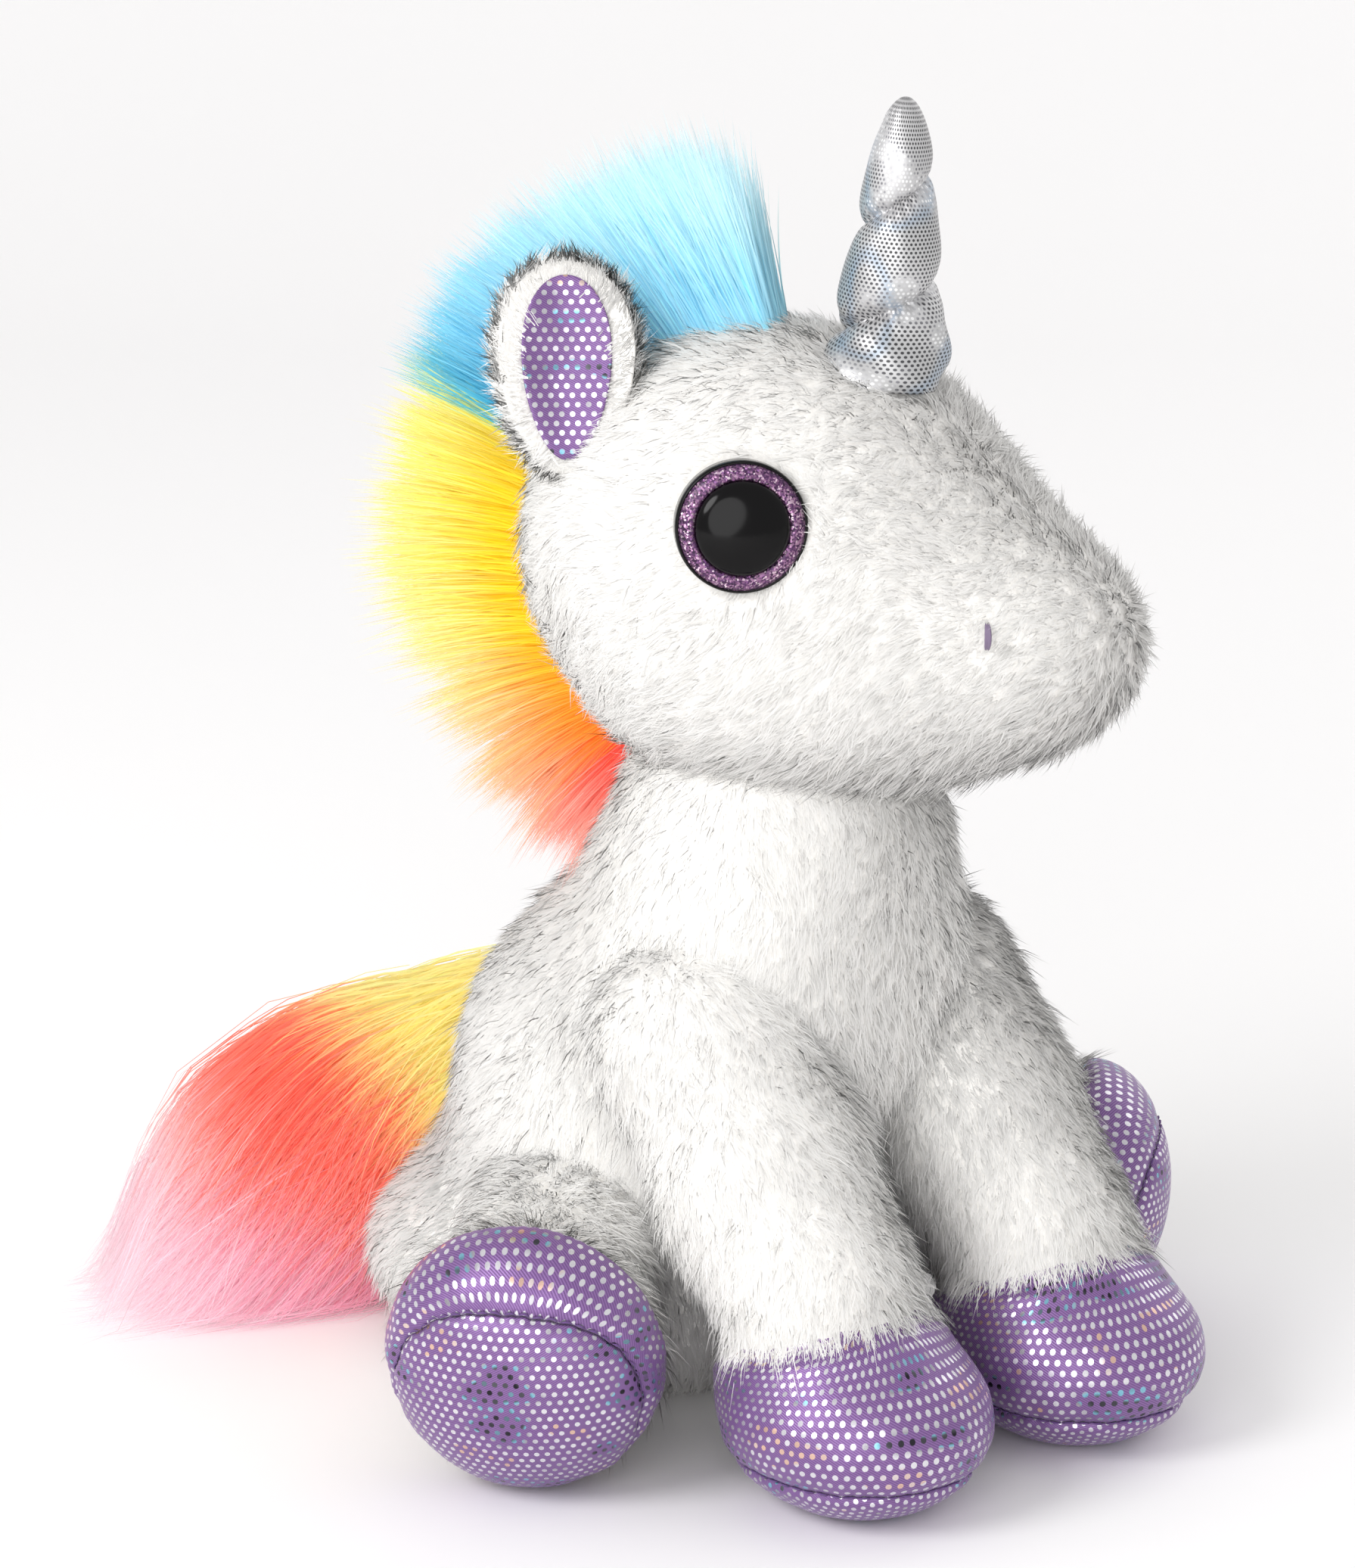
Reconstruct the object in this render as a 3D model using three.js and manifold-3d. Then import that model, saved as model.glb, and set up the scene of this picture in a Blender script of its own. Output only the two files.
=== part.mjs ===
// Sitting plush unicorn, built the way a toy maker sews one: plush covers over fibre fillings, a bean bag in
// the rump, plastic safety eyes, a twisted horn, foil-dotted hooves and a long-pile mane and tail.
// Millimetres, +Z up. The unicorn faces -Y and its left side is +X. The origin is on the floor, below the
// middle of the rump it sits on.
import * as THREE from "three";
import { mergeVertices } from "three/addons/utils/BufferGeometryUtils.js";
import Module from "manifold-3d";

const wasm = await Module();
wasm.setup();

// ---- driving sizes
const clothWall = 3; // plush cloth with its pile pressed flat
const satinWall = 1.2; // foil-dotted cloth
const fillGap = 3; // between a cover and its filling
const seamGap = 0.4; // between two pieces sewn edge to edge
const jointGap = 1.2; // between two pieces that turn past each other

const torso = {
  seat: { width: 130, depth: 126, height: 66, middle: 22, back: 3 },
  back: { width: 110, depth: 106, height: 108, middle: 64, forward: 14 },
  chest: { over: 8, middle: 98, forward: 42 }, // over: how far it stands out beyond the neck's ball
  softness: 26,
  bean: { height: 26, share: 0.78 }, // the bean bag's share of the seat's width and depth
};
const neck = { forward: 47, height: 134, ball: 34, low: 13, high: 16, collar: 8, turn: 25 };
const head = {
  skull: { width: 98, length: 116, height: 102, back: 2, middle: 60 },
  snout: { width: 62, length: 84, height: 60, forward: 42, middle: 45 },
  jaw: { width: 80, length: 80, height: 46, forward: 6, middle: 34 },
  softness: 20,
};
const eye = {
  way: [1, 0.05, 0.51], // from the middle of the head
  toed: 30, // degrees its face is turned towards the snout
  diameter: 28,
  pupil: 20,
  depth: 6,
  dome: 4,
  pupilDome: 5.2,
  shank: 5,
  washer: { diameter: 17, thickness: 2, deep: 15 },
};
const nostril = { way: [1, -1.6, 0.02], length: 5, thread: 1.2 };
const horn = {
  way: [0, -0.2, 1],
  base: 25,
  tip: 11,
  height: 54,
  sunk: 7, // how far its foot goes below the head's skin
  pitch: 23, // from one waist to the next, up the horn
  pinch: 0.2,
  lean: 4,
  range: [-8, 8],
};
const ear = {
  way: [0.5, 1, 0.95],
  width: 33,
  height: 48,
  thickness: 10,
  lining: { width: 23, height: 40, thickness: 5 },
  out: 9, // middle of the leaf beyond the head's skin
  faced: 62, // degrees its open side is turned from straight ahead
  tipped: 12,
  range: [-12, 12],
};
const mane = { thickness: 12, hair: 40, backing: 1.5, low: -7 };
const tail = { root: 60, swing: 62, core: 9, coreLength: 62, range: [-10, 14] };
const frontLeg = { between: 3, forward: 55, height: 90, root: 27, reach: 53, calf: 47, range: [-2, 12] };
const rearLeg = {
  spread: 38,
  forward: 21,
  root: 26,
  length: 59,
  splay: 50, // degrees outwards
  pitch: 8, // degrees below level
  calf: 50,
  range: [-2, 10],
};
const hoof = {
  width: 57,
  length: 62,
  height: 42,
  seam: 11, // the sole's seam above the floor
  cuff: 40,
  slope: 0.3,
  rearSeam: 5,
  rearCuff: 26,
};

// ---- solids
const rad = THREE.MathUtils.degToRad;
const spot = (x, y, z) => new THREE.Vector3(x, y, z);
const xAxis = spot(1, 0, 0);
const zAxis = spot(0, 0, 1);

function solidFrom(geometry, matrix = new THREE.Matrix4()) {
  const bare = geometry.clone().applyMatrix4(matrix);
  bare.deleteAttribute("normal");
  bare.deleteAttribute("uv");
  const merged = mergeVertices(bare, 1e-4);
  return new wasm.Manifold(
    new wasm.Mesh({
      numProp: 3,
      vertProperties: merged.attributes.position.array,
      triVerts: new Uint32Array(merged.index.array),
    }),
  );
}

function geometryFrom(solid) {
  const mesh = solid.getMesh();
  const geometry = new THREE.BufferGeometry();
  geometry.setAttribute("position", new THREE.BufferAttribute(mesh.vertProperties, 3));
  geometry.setIndex(new THREE.BufferAttribute(mesh.triVerts, 1));
  return geometry;
}

const join = (solids) => solids.reduce((all, one) => all.add(one));
const largest = (solid) => solid.decompose().sort((a, b) => b.volume() - a.volume())[0];
const moved = (solid, matrix) => solid.transform(matrix.toArray());

// A lump is an ellipsoid given by its middle and its three full sizes.
const lump = (middle, width, depth, height) => ({
  middle,
  radii: spot(width / 2, depth / 2, height / 2),
});

function lumpDistance(point, { middle, radii }) {
  const scaled = point.clone().sub(middle).divide(radii);
  const steep = scaled.clone().divide(radii).length();
  return steep < 1e-9 ? -Math.min(...radii) : (scaled.length() * (scaled.length() - 1)) / steep;
}

// Distance to several lumps that flow into each other, as cloth does over one filling.
function formDistance(point, { lumps, softness }) {
  let distance = lumpDistance(point, lumps[0]);
  for (const other of lumps.slice(1)) {
    const next = lumpDistance(point, other);
    const mix = Math.max(softness - Math.abs(distance - next), 0) / softness;
    distance = Math.min(distance, next) - (mix * mix * softness) / 4;
  }
  return distance;
}

// The first point where a ray from the form's heart comes to lie inset below its skin.
function skinPoint(form, way, inset = 0) {
  const along = way.clone().normalize();
  const pointAt = (reach) => form.heart.clone().addScaledVector(along, reach);
  const isInside = (reach) => formDistance(pointAt(reach), form) + inset < 0;
  let far = 4;
  while (isInside(far)) far += 4;
  let near = far - 4;
  for (let step = 0; step < 20; step++) {
    const reach = (near + far) / 2;
    [near, far] = isInside(reach) ? [reach, far] : [near, reach];
  }
  return pointAt(near);
}

// A sphere blown up from the heart until it meets the form's skin, or lies inset below it.
function stuffed(form, inset, sides, rings) {
  const geometry = new THREE.SphereGeometry(1, sides, rings).rotateX(Math.PI / 2);
  const position = geometry.attributes.position;
  for (let i = 0; i < position.count; i++) {
    const skin = skinPoint(form, spot().fromBufferAttribute(position, i), inset);
    if (form.floor !== undefined) skin.z = Math.max(skin.z, form.floor + inset);
    position.setXYZ(i, skin.x, skin.y, skin.z);
  }
  return solidFrom(geometry);
}

const ball = (middle, radius, sides = 22) =>
  solidFrom(new THREE.SphereGeometry(radius, sides, Math.round(sides * 0.6)).translate(...middle));

const ellipsoid = (middle, width, depth, height, sides = 20, rings = 12) =>
  solidFrom(new THREE.SphereGeometry(0.5, sides, rings).scale(width, depth, height).translate(...middle));

// A round bar along Z.
const bar = (radius, low, high, sides = 24) =>
  solidFrom(
    new THREE.CylinderGeometry(radius, radius, high - low, sides)
      .rotateX(Math.PI / 2)
      .translate(0, 0, (low + high) / 2),
  );

// A large block that fills everything beyond a plane through a point, along the plane's normal.
function beyond(point, normal, size = 500) {
  const turn = new THREE.Quaternion().setFromUnitVectors(zAxis, normal.clone().normalize());
  const matrix = new THREE.Matrix4().compose(point, turn, spot(1, 1, 1));
  return solidFrom(new THREE.BoxGeometry(size, size, size).translate(0, 0, size / 2), matrix);
}

// The room a turning piece takes up: the piece at three steps of its range about an axis.
function swept(solid, axis, [low, high]) {
  const steps = [0, 0.5, 1].map((part) => rad(low + part * (high - low)));
  return join(steps.map((angle) => moved(solid, new THREE.Matrix4().makeRotationAxis(axis, angle))));
}

// ---- materials and pieces
const finish = (color, roughness, metalness = 0) =>
  new THREE.MeshStandardMaterial({ color, roughness, metalness });
const whitePlush = finish(0xf4f3f0, 0.95);
const fibre = finish(0xfafaf8, 0.95);
const beanCloth = finish(0xe2ddd2, 0.85);
const lilacFoil = finish(0x9b78c9, 0.45, 0.2);
const silverFoil = finish(0xc9cbd0, 0.35, 0.6);
const blackPlastic = finish(0x0b0a0c, 0.08);
const lilacGlitter = finish(0xa874a8, 0.35, 0.5);
const whitePlastic = finish(0xe9e9e6, 0.4);
const lilacThread = finish(0x8a6a9c, 0.7);
const rainbowPile = finish(0xffc93c, 0.85);
const coralPile = finish(0xff8f86, 0.85);
const backingCloth = finish(0xe8dccb, 0.9);

function piece(name, solid, material) {
  const mesh = new THREE.Mesh(geometryFrom(largest(solid)), material);
  mesh.name = name;
  return mesh;
}

function frame(position, rotation = new THREE.Euler()) {
  const group = new THREE.Group();
  group.position.copy(position);
  group.rotation.copy(rotation);
  group.updateMatrix();
  return group;
}

const sides = [
  { word: "right", side: -1 },
  { word: "left", side: 1 },
];

// ---- legs, each hanging from a joint at its origin
function legPieces(name, form, cuffPoint, cuffNormal, seamPoint) {
  const skin = stuffed(form, 0, 14, 11);
  const filling = stuffed(form, clothWall + fillGap, 14, 11);
  const mouth = ball(spot(0, 0, 0), clothWall * 5, 12).add(beyond(spot(0, 0, clothWall * 4), zAxis));
  const plush = skin.subtract(stuffed(form, clothWall, 14, 11)).subtract(mouth);
  const foil = skin.subtract(stuffed(form, satinWall, 14, 11));
  const belowCuff = cuffPoint.clone().addScaledVector(cuffNormal, seamGap);
  const aboveSeam = seamPoint.clone().addScaledVector(zAxis, seamGap);
  const upper = foil.intersect(beyond(belowCuff, cuffNormal)).intersect(beyond(aboveSeam, zAxis));
  return [
    piece(name + "_cover", plush.subtract(beyond(cuffPoint, cuffNormal)), whitePlush),
    piece(name + "_hoof_upper", upper, lilacFoil),
    piece(name + "_hoof_sole", foil.intersect(beyond(seamPoint, zAxis.clone().negate())), lilacFoil),
    piece(name + "_filling", filling, fibre),
  ];
}

// What a leg needs clear of the torso's cover, and a simpler, wider room that its fillings keep clear of.
function legRooms(holder, form, axis, range) {
  const room = swept(stuffed(form, -jointGap, 14, 11), axis, range);
  const wideRoom = stuffed(form, -jointGap * 7, 10, 8);
  return { room: moved(room, holder.matrix), wideRoom: moved(wideRoom, holder.matrix) };
}

function makeFrontLeg({ word, side }) {
  const { root, reach, height, calf, between, forward, range } = frontLeg;
  const spread = (hoof.width + between) / 2;
  const form = {
    lumps: [
      lump(spot(0, 0, 0), root * 2, root * 2, root * 2),
      lump(spot(side, -reach * 0.4, -height * 0.28), calf + 6, calf + 4, calf + 14),
      lump(spot(side * 2, -reach * 0.78, -height * 0.52), calf - 1, calf - 1, calf + 2),
      lump(spot(side * 2, -reach, hoof.height / 2 - 1.5 - height), hoof.width, hoof.length, hoof.height),
    ],
    softness: 14,
    heart: spot(side, -reach * 0.62, -height * 0.45),
    floor: -height,
  };
  const holder = frame(spot(side * spread, -forward, height));
  const cuffPoint = spot(0, -reach, hoof.cuff - height);
  const cuffNormal = spot(0, -hoof.slope, -1).normalize();
  const seamPoint = spot(0, 0, hoof.seam - height);
  holder.add(...legPieces("front_leg_" + word, form, cuffPoint, cuffNormal, seamPoint));
  return { holder, ...legRooms(holder, form, xAxis, [-range[1], -range[0]]) };
}

function makeRearLeg({ word, side }) {
  const { root, length, calf, spread, forward, splay, pitch, range } = rearLeg;
  const form = {
    lumps: [
      lump(spot(0, 0, 0), root * 2, root * 2, root * 2),
      lump(spot(0, 0, -length * 0.5), calf, calf, length),
      lump(spot(0, 0, -length), hoof.length - 1, hoof.length - 1, hoof.height),
    ],
    softness: 14,
    heart: spot(0, 0, -length * 0.5),
  };
  const hip = spot(side * spread, -forward, hoof.length / 2 + length * Math.sin(rad(pitch)));
  const holder = frame(hip, new THREE.Euler(rad(pitch) - Math.PI / 2, 0, side * rad(splay), "ZYX"));
  const cuffPoint = spot(0, 0, hoof.rearCuff - hoof.height / 2 - length);
  const seamPoint = spot(0, 0, -hoof.rearSeam - length);
  holder.add(...legPieces("rear_leg_" + word, form, cuffPoint, zAxis.clone().negate(), seamPoint));
  const upright = zAxis.clone().applyQuaternion(holder.quaternion.clone().invert());
  const turned = side > 0 ? range : [-range[1], -range[0]];
  return { holder, ...legRooms(holder, form, upright, turned) };
}

const legs = [...sides.map(makeFrontLeg), ...sides.map(makeRearLeg)];

// ---- torso
const neckPoint = spot(0, -neck.forward, neck.height);
const neckRound = neck.ball * 2 + 2;
const chestRound = neck.ball * 2 + torso.chest.over * 2;
const torsoLump = ({ width, depth, height, middle }, y) => lump(spot(0, y, middle), width, depth, height);
const torsoForm = {
  lumps: [
    torsoLump(torso.seat, torso.seat.back),
    torsoLump(torso.back, -torso.back.forward),
    lump(spot(0, -torso.chest.forward, torso.chest.middle), chestRound, chestRound, chestRound),
    lump(neckPoint, neckRound, neckRound, neckRound),
  ],
  softness: torso.softness,
  heart: spot(0, -torso.chest.forward * 0.6, torso.chest.middle * 0.8),
  floor: 0,
};

function makeTorso() {
  const neckRoom = ball(neckPoint, neck.ball + jointGap, 20);
  const aboveNeck = beyond(neckPoint.clone().add(spot(0, 0, -neck.low - jointGap)), zAxis);
  const aboveCollar = beyond(neckPoint.clone().add(spot(0, 0, -neck.collar)), zAxis);
  const rooms = join(legs.map(({ room }) => room))
    .add(neckRoom.intersect(aboveNeck))
    .add(aboveCollar);
  const cover = stuffed(torsoForm, 0, 24, 16).subtract(stuffed(torsoForm, clothWall, 24, 16));
  const wide = join(legs.map(({ wideRoom }) => wideRoom)).add(neckRoom);
  const inside = stuffed(torsoForm, clothWall + fillGap, 24, 16).subtract(wide).subtract(aboveCollar);
  const { seat, bean } = torso;
  const beanLow = clothWall + fillGap + 1;
  const beanMiddle = spot(0, seat.back, beanLow + bean.height / 2);
  const pouch = ellipsoid(beanMiddle, seat.width * bean.share, seat.depth * bean.share, bean.height, 18, 10);
  const aboveBean = beyond(spot(0, 0, beanLow + bean.height + seamGap), zAxis);
  return [
    piece("torso_cover", cover.subtract(rooms), whitePlush),
    piece("torso_filling", inside.intersect(aboveBean), fibre),
    piece("bean_bag", pouch.subtract(wide), beanCloth),
  ];
}

// ---- neck
function makeNeck() {
  const slab = (low, high) => bar(neck.ball * 2, low, high);
  const outer = ball(spot(0, 0, 0), neck.ball, 16).intersect(slab(-neck.low, neck.high));
  const inner = ball(spot(0, 0, 0), neck.ball - clothWall, 16);
  const core = ball(spot(0, 0, 0), neck.ball - clothWall - fillGap, 16);
  const filling = core.intersect(slab(-neck.low, neck.high));
  return [piece("neck_cover", outer.subtract(inner), whitePlush), piece("neck_filling", filling, fibre)];
}

// ---- head, in a frame whose origin is the neck joint
const headLump = ({ width, length, height, middle }, y) => lump(spot(0, y, middle), width, length, height);
const headForm = {
  lumps: [
    headLump(head.skull, head.skull.back),
    headLump(head.snout, -head.snout.forward),
    headLump(head.jaw, -head.jaw.forward),
  ],
  softness: head.softness,
  heart: spot(0, -head.snout.forward * 0.3, head.skull.middle * 0.85),
};
const headSkin = stuffed(headForm, 0, 24, 16);

// An eye looks along its own +Z, with the middle of its face at its origin.
function makeEye({ word, side }) {
  const skin = skinPoint(headForm, spot(side * eye.way[0], eye.way[1], eye.way[2]));
  const look = spot(side * Math.cos(rad(eye.toed)), -Math.sin(rad(eye.toed)), 0.08).normalize();
  const turn = new THREE.Quaternion().setFromUnitVectors(zAxis, look);
  const holder = frame(skin, new THREE.Euler().setFromQuaternion(turn));
  const radius = eye.diameter / 2;
  const deep = eye.washer.deep + eye.washer.thickness;
  const dome = ellipsoid(spot(0, 0, 0), eye.diameter, eye.diameter, eye.dome * 2, 20, 8);
  const pupilDome = ellipsoid(spot(0, 0, 0), eye.pupil * 1.06, eye.pupil * 1.06, eye.pupilDome * 2, 20, 8);
  const front = beyond(spot(0, 0, 0), zAxis);
  const cup = bar(radius, -eye.depth, -seamGap, 20).add(bar(eye.shank / 2, -deep - 3, -eye.depth + 1, 12));
  const pupil = pupilDome.intersect(front).intersect(bar(eye.pupil / 2, -1, 10, 20));
  const ring = dome.intersect(front).subtract(bar(eye.pupil / 2 + seamGap, -1, 10, 20));
  const washer = bar(eye.washer.diameter / 2, -deep, -eye.washer.deep, 18);
  const nub = bar(eye.shank / 2 + seamGap, -deep - 9, 1, 12);
  holder.add(
    piece(`eye_${word}_cup`, cup, blackPlastic),
    piece(`eye_${word}_glitter`, ring, lilacGlitter),
    piece(`eye_${word}_pupil`, pupil, blackPlastic),
    piece(`eye_${word}_washer`, washer.subtract(nub), whitePlastic),
  );
  const coverRoom = bar(radius + seamGap, -eye.depth - seamGap, 20, 20).add(nub);
  const fillRoom = coverRoom.add(bar(eye.washer.diameter / 2 + 1, -deep - 1, 0, 18));
  return { holder, coverRoom: moved(coverRoom, holder.matrix), fillRoom: moved(fillRoom, holder.matrix) };
}

function makeNostril({ word, side }) {
  const way = spot(side * nostril.way[0], nostril.way[1], nostril.way[2]);
  const out = way.clone().setZ(0).normalize();
  const middle = skinPoint(headForm, way).addScaledVector(out, nostril.thread / 2 + seamGap + 0.3);
  const straight = nostril.length - nostril.thread;
  const stitch = new THREE.CapsuleGeometry(nostril.thread / 2, straight, 3, 8).rotateX(Math.PI / 2);
  const placed = solidFrom(stitch, new THREE.Matrix4().setPosition(middle));
  return piece(`nostril_${word}_stitch`, placed, lilacThread);
}

// The horn stands on its own +Z, with its joint at its origin.
function makeHorn() {
  const shape = (inset, low, high, lobes) => {
    const levels = 14;
    const profile = [new THREE.Vector2(0, low)];
    for (let i = 0; i <= levels; i++) {
      const part = i / levels;
      const rounding = Math.sqrt(Math.max(1 - Math.pow(Math.max(part - 0.82, 0) / 0.18, 2), 0));
      const taper = (horn.base / 2) * (1 - part) + (horn.tip / 2) * part;
      const radius = taper * rounding - inset * Math.min(1, rounding * 2);
      if (radius > 0) profile.push(new THREE.Vector2(radius, low + part * (high - low)));
    }
    profile.push(new THREE.Vector2(0, high));
    const geometry = new THREE.LatheGeometry(profile, 12).rotateX(Math.PI / 2);
    const position = geometry.attributes.position;
    for (let i = 0; i < position.count; i++) {
      const [x, y, z] = [position.getX(i), position.getY(i), position.getZ(i)];
      const wind = (z / horn.pitch - Math.atan2(y, x) / (2 * Math.PI) + 10) % 1;
      const waist = 1 - lobes * horn.pinch * Math.pow(Math.abs(wind * 2 - 1), 4);
      position.setXYZ(i, x * waist, y * waist, z);
    }
    return solidFrom(geometry);
  };
  const skin = skinPoint(headForm, spot(...horn.way));
  const holder = frame(skin, new THREE.Euler(rad(horn.lean), 0, 0));
  const outer = shape(0, -horn.sunk, horn.height, 1);
  const hollow = shape(satinWall, -horn.sunk - satinWall, horn.height - satinWall, 1);
  const filling = shape(satinWall + fillGap, -horn.sunk, horn.height - satinWall - fillGap, 1);
  holder.add(piece("horn_cover", outer.subtract(hollow), silverFoil), piece("horn_filling", filling, fibre));
  const full = shape(-jointGap, -horn.sunk - jointGap, horn.height, 0);
  return { holder, room: moved(swept(full, xAxis, horn.range), holder.matrix) };
}

// An ear is a leaf whose open side faces its own -Y; its hinge runs along the head's skin below it.
function makeEar({ word, side }, headRoom) {
  const way = spot(side * ear.way[0], ear.way[1], ear.way[2]);
  const hinge = skinPoint(headForm, way);
  const out = way.clone().normalize();
  const holder = frame(hinge);
  const leafTurn = new THREE.Euler(-rad(ear.tipped), 0, side * rad(ear.faced), "ZYX");
  const leafFrame = new THREE.Matrix4().makeRotationFromEuler(leafTurn);
  leafFrame.setPosition(out.multiplyScalar(ear.out));
  const { lining } = ear;
  const leaf = ellipsoid(spot(0, 0, 0), ear.width, ear.thickness, ear.height, 14, 10);
  const forward = -ear.thickness * 0.34;
  const inlay = ellipsoid(spot(0, forward, 0), lining.width, lining.thickness, lining.height, 12, 8);
  const pocket = ellipsoid(
    spot(0, forward, 0),
    lining.width + seamGap * 2.5,
    lining.thickness + seamGap * 2.5,
    lining.height + seamGap * 2.5,
    12,
    8,
  );
  const axis = zAxis.clone().cross(way).normalize();
  const fromHinge = new THREE.Matrix4().setPosition(hinge.clone().negate());
  const trim = swept(moved(headRoom, fromHinge), axis, ear.range);
  holder.add(
    piece(`ear_${word}_back`, moved(leaf.subtract(pocket), leafFrame).subtract(trim), whitePlush),
    piece(`ear_${word}_lining`, moved(inlay, leafFrame).subtract(trim), lilacFoil),
  );
  return { holder, axis };
}

// The mane is a crest that stands on the head from behind the horn down to the nape.
function makeMane() {
  const { skull } = head;
  const [middle, up, back] = [skull.middle, skull.height / 2, skull.back + skull.length / 2];
  const hair = mane.hair;
  const shape = new THREE.Shape()
    .moveTo(skull.back - 2, middle + up - 8)
    .lineTo(skull.back - 1, middle + up + 2)
    .quadraticCurveTo(back * 0.2, middle + up + hair, back * 0.5, middle + up + hair * 0.9)
    .quadraticCurveTo(back + hair * 0.8, middle + up + hair * 0.3, back + hair, middle + up * 0.2)
    .quadraticCurveTo(back + hair, middle - up * 0.5, back + hair * 0.4, mane.low)
    .lineTo(back * 0.8, mane.low + 5)
    .lineTo(back * 0.6, 12)
    .lineTo(back * 0.8, middle)
    .lineTo(back * 0.6, middle + up * 0.6);
  const depth = mane.thickness - 4;
  const edge = { bevelThickness: 2, bevelSize: 2, bevelOffset: -2, bevelSegments: 2 };
  const block = new THREE.ExtrudeGeometry(shape, { depth, curveSegments: 8, ...edge });
  const upright = new THREE.Matrix4().makeBasis(spot(0, 1, 0), spot(0, 0, 1), spot(1, 0, 0));
  const crest = solidFrom(block.translate(0, 0, -depth / 2), upright);
  const under = stuffed(headForm, -seamGap, 24, 16);
  const over = stuffed(headForm, -seamGap - mane.backing, 24, 16);
  const clear = stuffed(headForm, -seamGap * 2 - mane.backing, 24, 16);
  const strip = crest.scale([0.8, 1, 1]).intersect(over).subtract(under);
  return [
    piece("mane_backing", strip, backingCloth),
    piece("mane_pile", crest.subtract(clear), rainbowPile),
  ];
}

function makeHead() {
  const eyes = sides.map(makeEye);
  const hornPart = makeHorn();
  const neckRoom = ball(spot(0, 0, 0), neck.ball + jointGap, 18);
  const ears = sides.map((which) => makeEar(which, stuffed(headForm, -jointGap, 24, 16)));
  const rooms = neckRoom.add(hornPart.room);
  const cover = headSkin.subtract(stuffed(headForm, clothWall, 24, 16)).subtract(rooms);
  const filling = stuffed(headForm, clothWall + fillGap, 18, 12).subtract(rooms);
  const coverCut = cover.subtract(join(eyes.map(({ coverRoom }) => coverRoom)));
  const fillingCut = filling.subtract(join(eyes.map(({ fillRoom }) => fillRoom)));
  return [
    piece("head_cover", coverCut, whitePlush),
    piece("head_filling", fillingCut, fibre),
    ...sides.map(makeNostril),
    ...makeMane(),
    ...[...eyes, hornPart, ...ears].map(({ holder }) => holder),
  ];
}

// ---- tail, swung to one side from a joint at its origin
function makeTail() {
  const rootWay = spot(0, torso.seat.depth / 2 + torso.seat.back, tail.root).sub(torsoForm.heart);
  const root = skinPoint(torsoForm, rootWay);
  const holder = frame(root, new THREE.Euler(0, 0, rad(tail.swing)));
  const form = {
    lumps: [
      lump(spot(0, 28, -22), 28, 72, 84),
      lump(spot(0, 60, -38), 28, 72, 60),
      lump(spot(0, 88, -51), 20, 46, 32),
    ],
    softness: 16,
    heart: spot(0, 48, -32),
    floor: -root.z,
  };
  const rod = (radius) => {
    const round = new THREE.CapsuleGeometry(radius, tail.coreLength, 4, 12);
    return solidFrom(round.translate(0, tail.coreLength / 2, 0));
  };
  const fromRoot = new THREE.Matrix4().copy(holder.matrix).invert();
  const nearTorso = moved(stuffed(torsoForm, -jointGap, 24, 16), fromRoot);
  const trim = swept(nearTorso, zAxis, [-tail.range[1], -tail.range[0]]);
  const pile = stuffed(form, 0, 18, 12).subtract(rod(tail.core / 2 + 0.6));
  holder.add(
    piece("tail_pile", pile.subtract(trim), coralPile),
    piece("tail_core", rod(tail.core / 2).subtract(trim), backingCloth),
  );
  return holder;
}

const neckFrame = frame(neckPoint, new THREE.Euler(0, 0, rad(neck.turn)));
neckFrame.add(...makeNeck(), ...makeHead());

const unicorn = new THREE.Group();
unicorn.add(...makeTorso(), ...legs.map(({ holder }) => holder), neckFrame, makeTail());

export default unicorn;
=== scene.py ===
import bpy
import math
import mathutils
import numpy as np
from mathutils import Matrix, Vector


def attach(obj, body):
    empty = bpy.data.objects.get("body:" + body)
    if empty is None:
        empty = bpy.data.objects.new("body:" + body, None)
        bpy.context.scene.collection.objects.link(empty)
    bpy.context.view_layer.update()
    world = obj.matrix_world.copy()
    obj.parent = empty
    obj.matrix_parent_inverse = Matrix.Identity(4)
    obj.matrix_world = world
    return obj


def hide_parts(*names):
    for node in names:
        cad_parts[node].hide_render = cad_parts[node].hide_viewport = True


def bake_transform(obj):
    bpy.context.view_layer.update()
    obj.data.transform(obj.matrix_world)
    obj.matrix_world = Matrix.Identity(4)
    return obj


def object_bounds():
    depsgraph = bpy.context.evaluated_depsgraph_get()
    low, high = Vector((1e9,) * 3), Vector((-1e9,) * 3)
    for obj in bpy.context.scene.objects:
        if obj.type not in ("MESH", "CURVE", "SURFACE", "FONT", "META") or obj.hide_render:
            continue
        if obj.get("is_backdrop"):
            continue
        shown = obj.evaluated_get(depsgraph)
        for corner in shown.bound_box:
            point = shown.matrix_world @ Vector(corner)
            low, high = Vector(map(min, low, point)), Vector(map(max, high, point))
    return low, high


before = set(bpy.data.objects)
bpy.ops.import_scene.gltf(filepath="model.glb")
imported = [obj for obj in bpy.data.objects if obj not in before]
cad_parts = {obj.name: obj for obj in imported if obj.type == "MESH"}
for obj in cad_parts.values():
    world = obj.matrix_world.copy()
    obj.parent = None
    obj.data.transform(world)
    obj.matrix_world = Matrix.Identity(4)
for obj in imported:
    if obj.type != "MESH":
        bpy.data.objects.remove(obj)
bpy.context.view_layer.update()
rng = np.random.default_rng(11)
print("frame loaded")


def turnX(degrees):
    c, s = math.cos(math.radians(degrees)), math.sin(math.radians(degrees))
    return np.array([[1, 0, 0], [0, c, -s], [0, s, c]])


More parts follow.
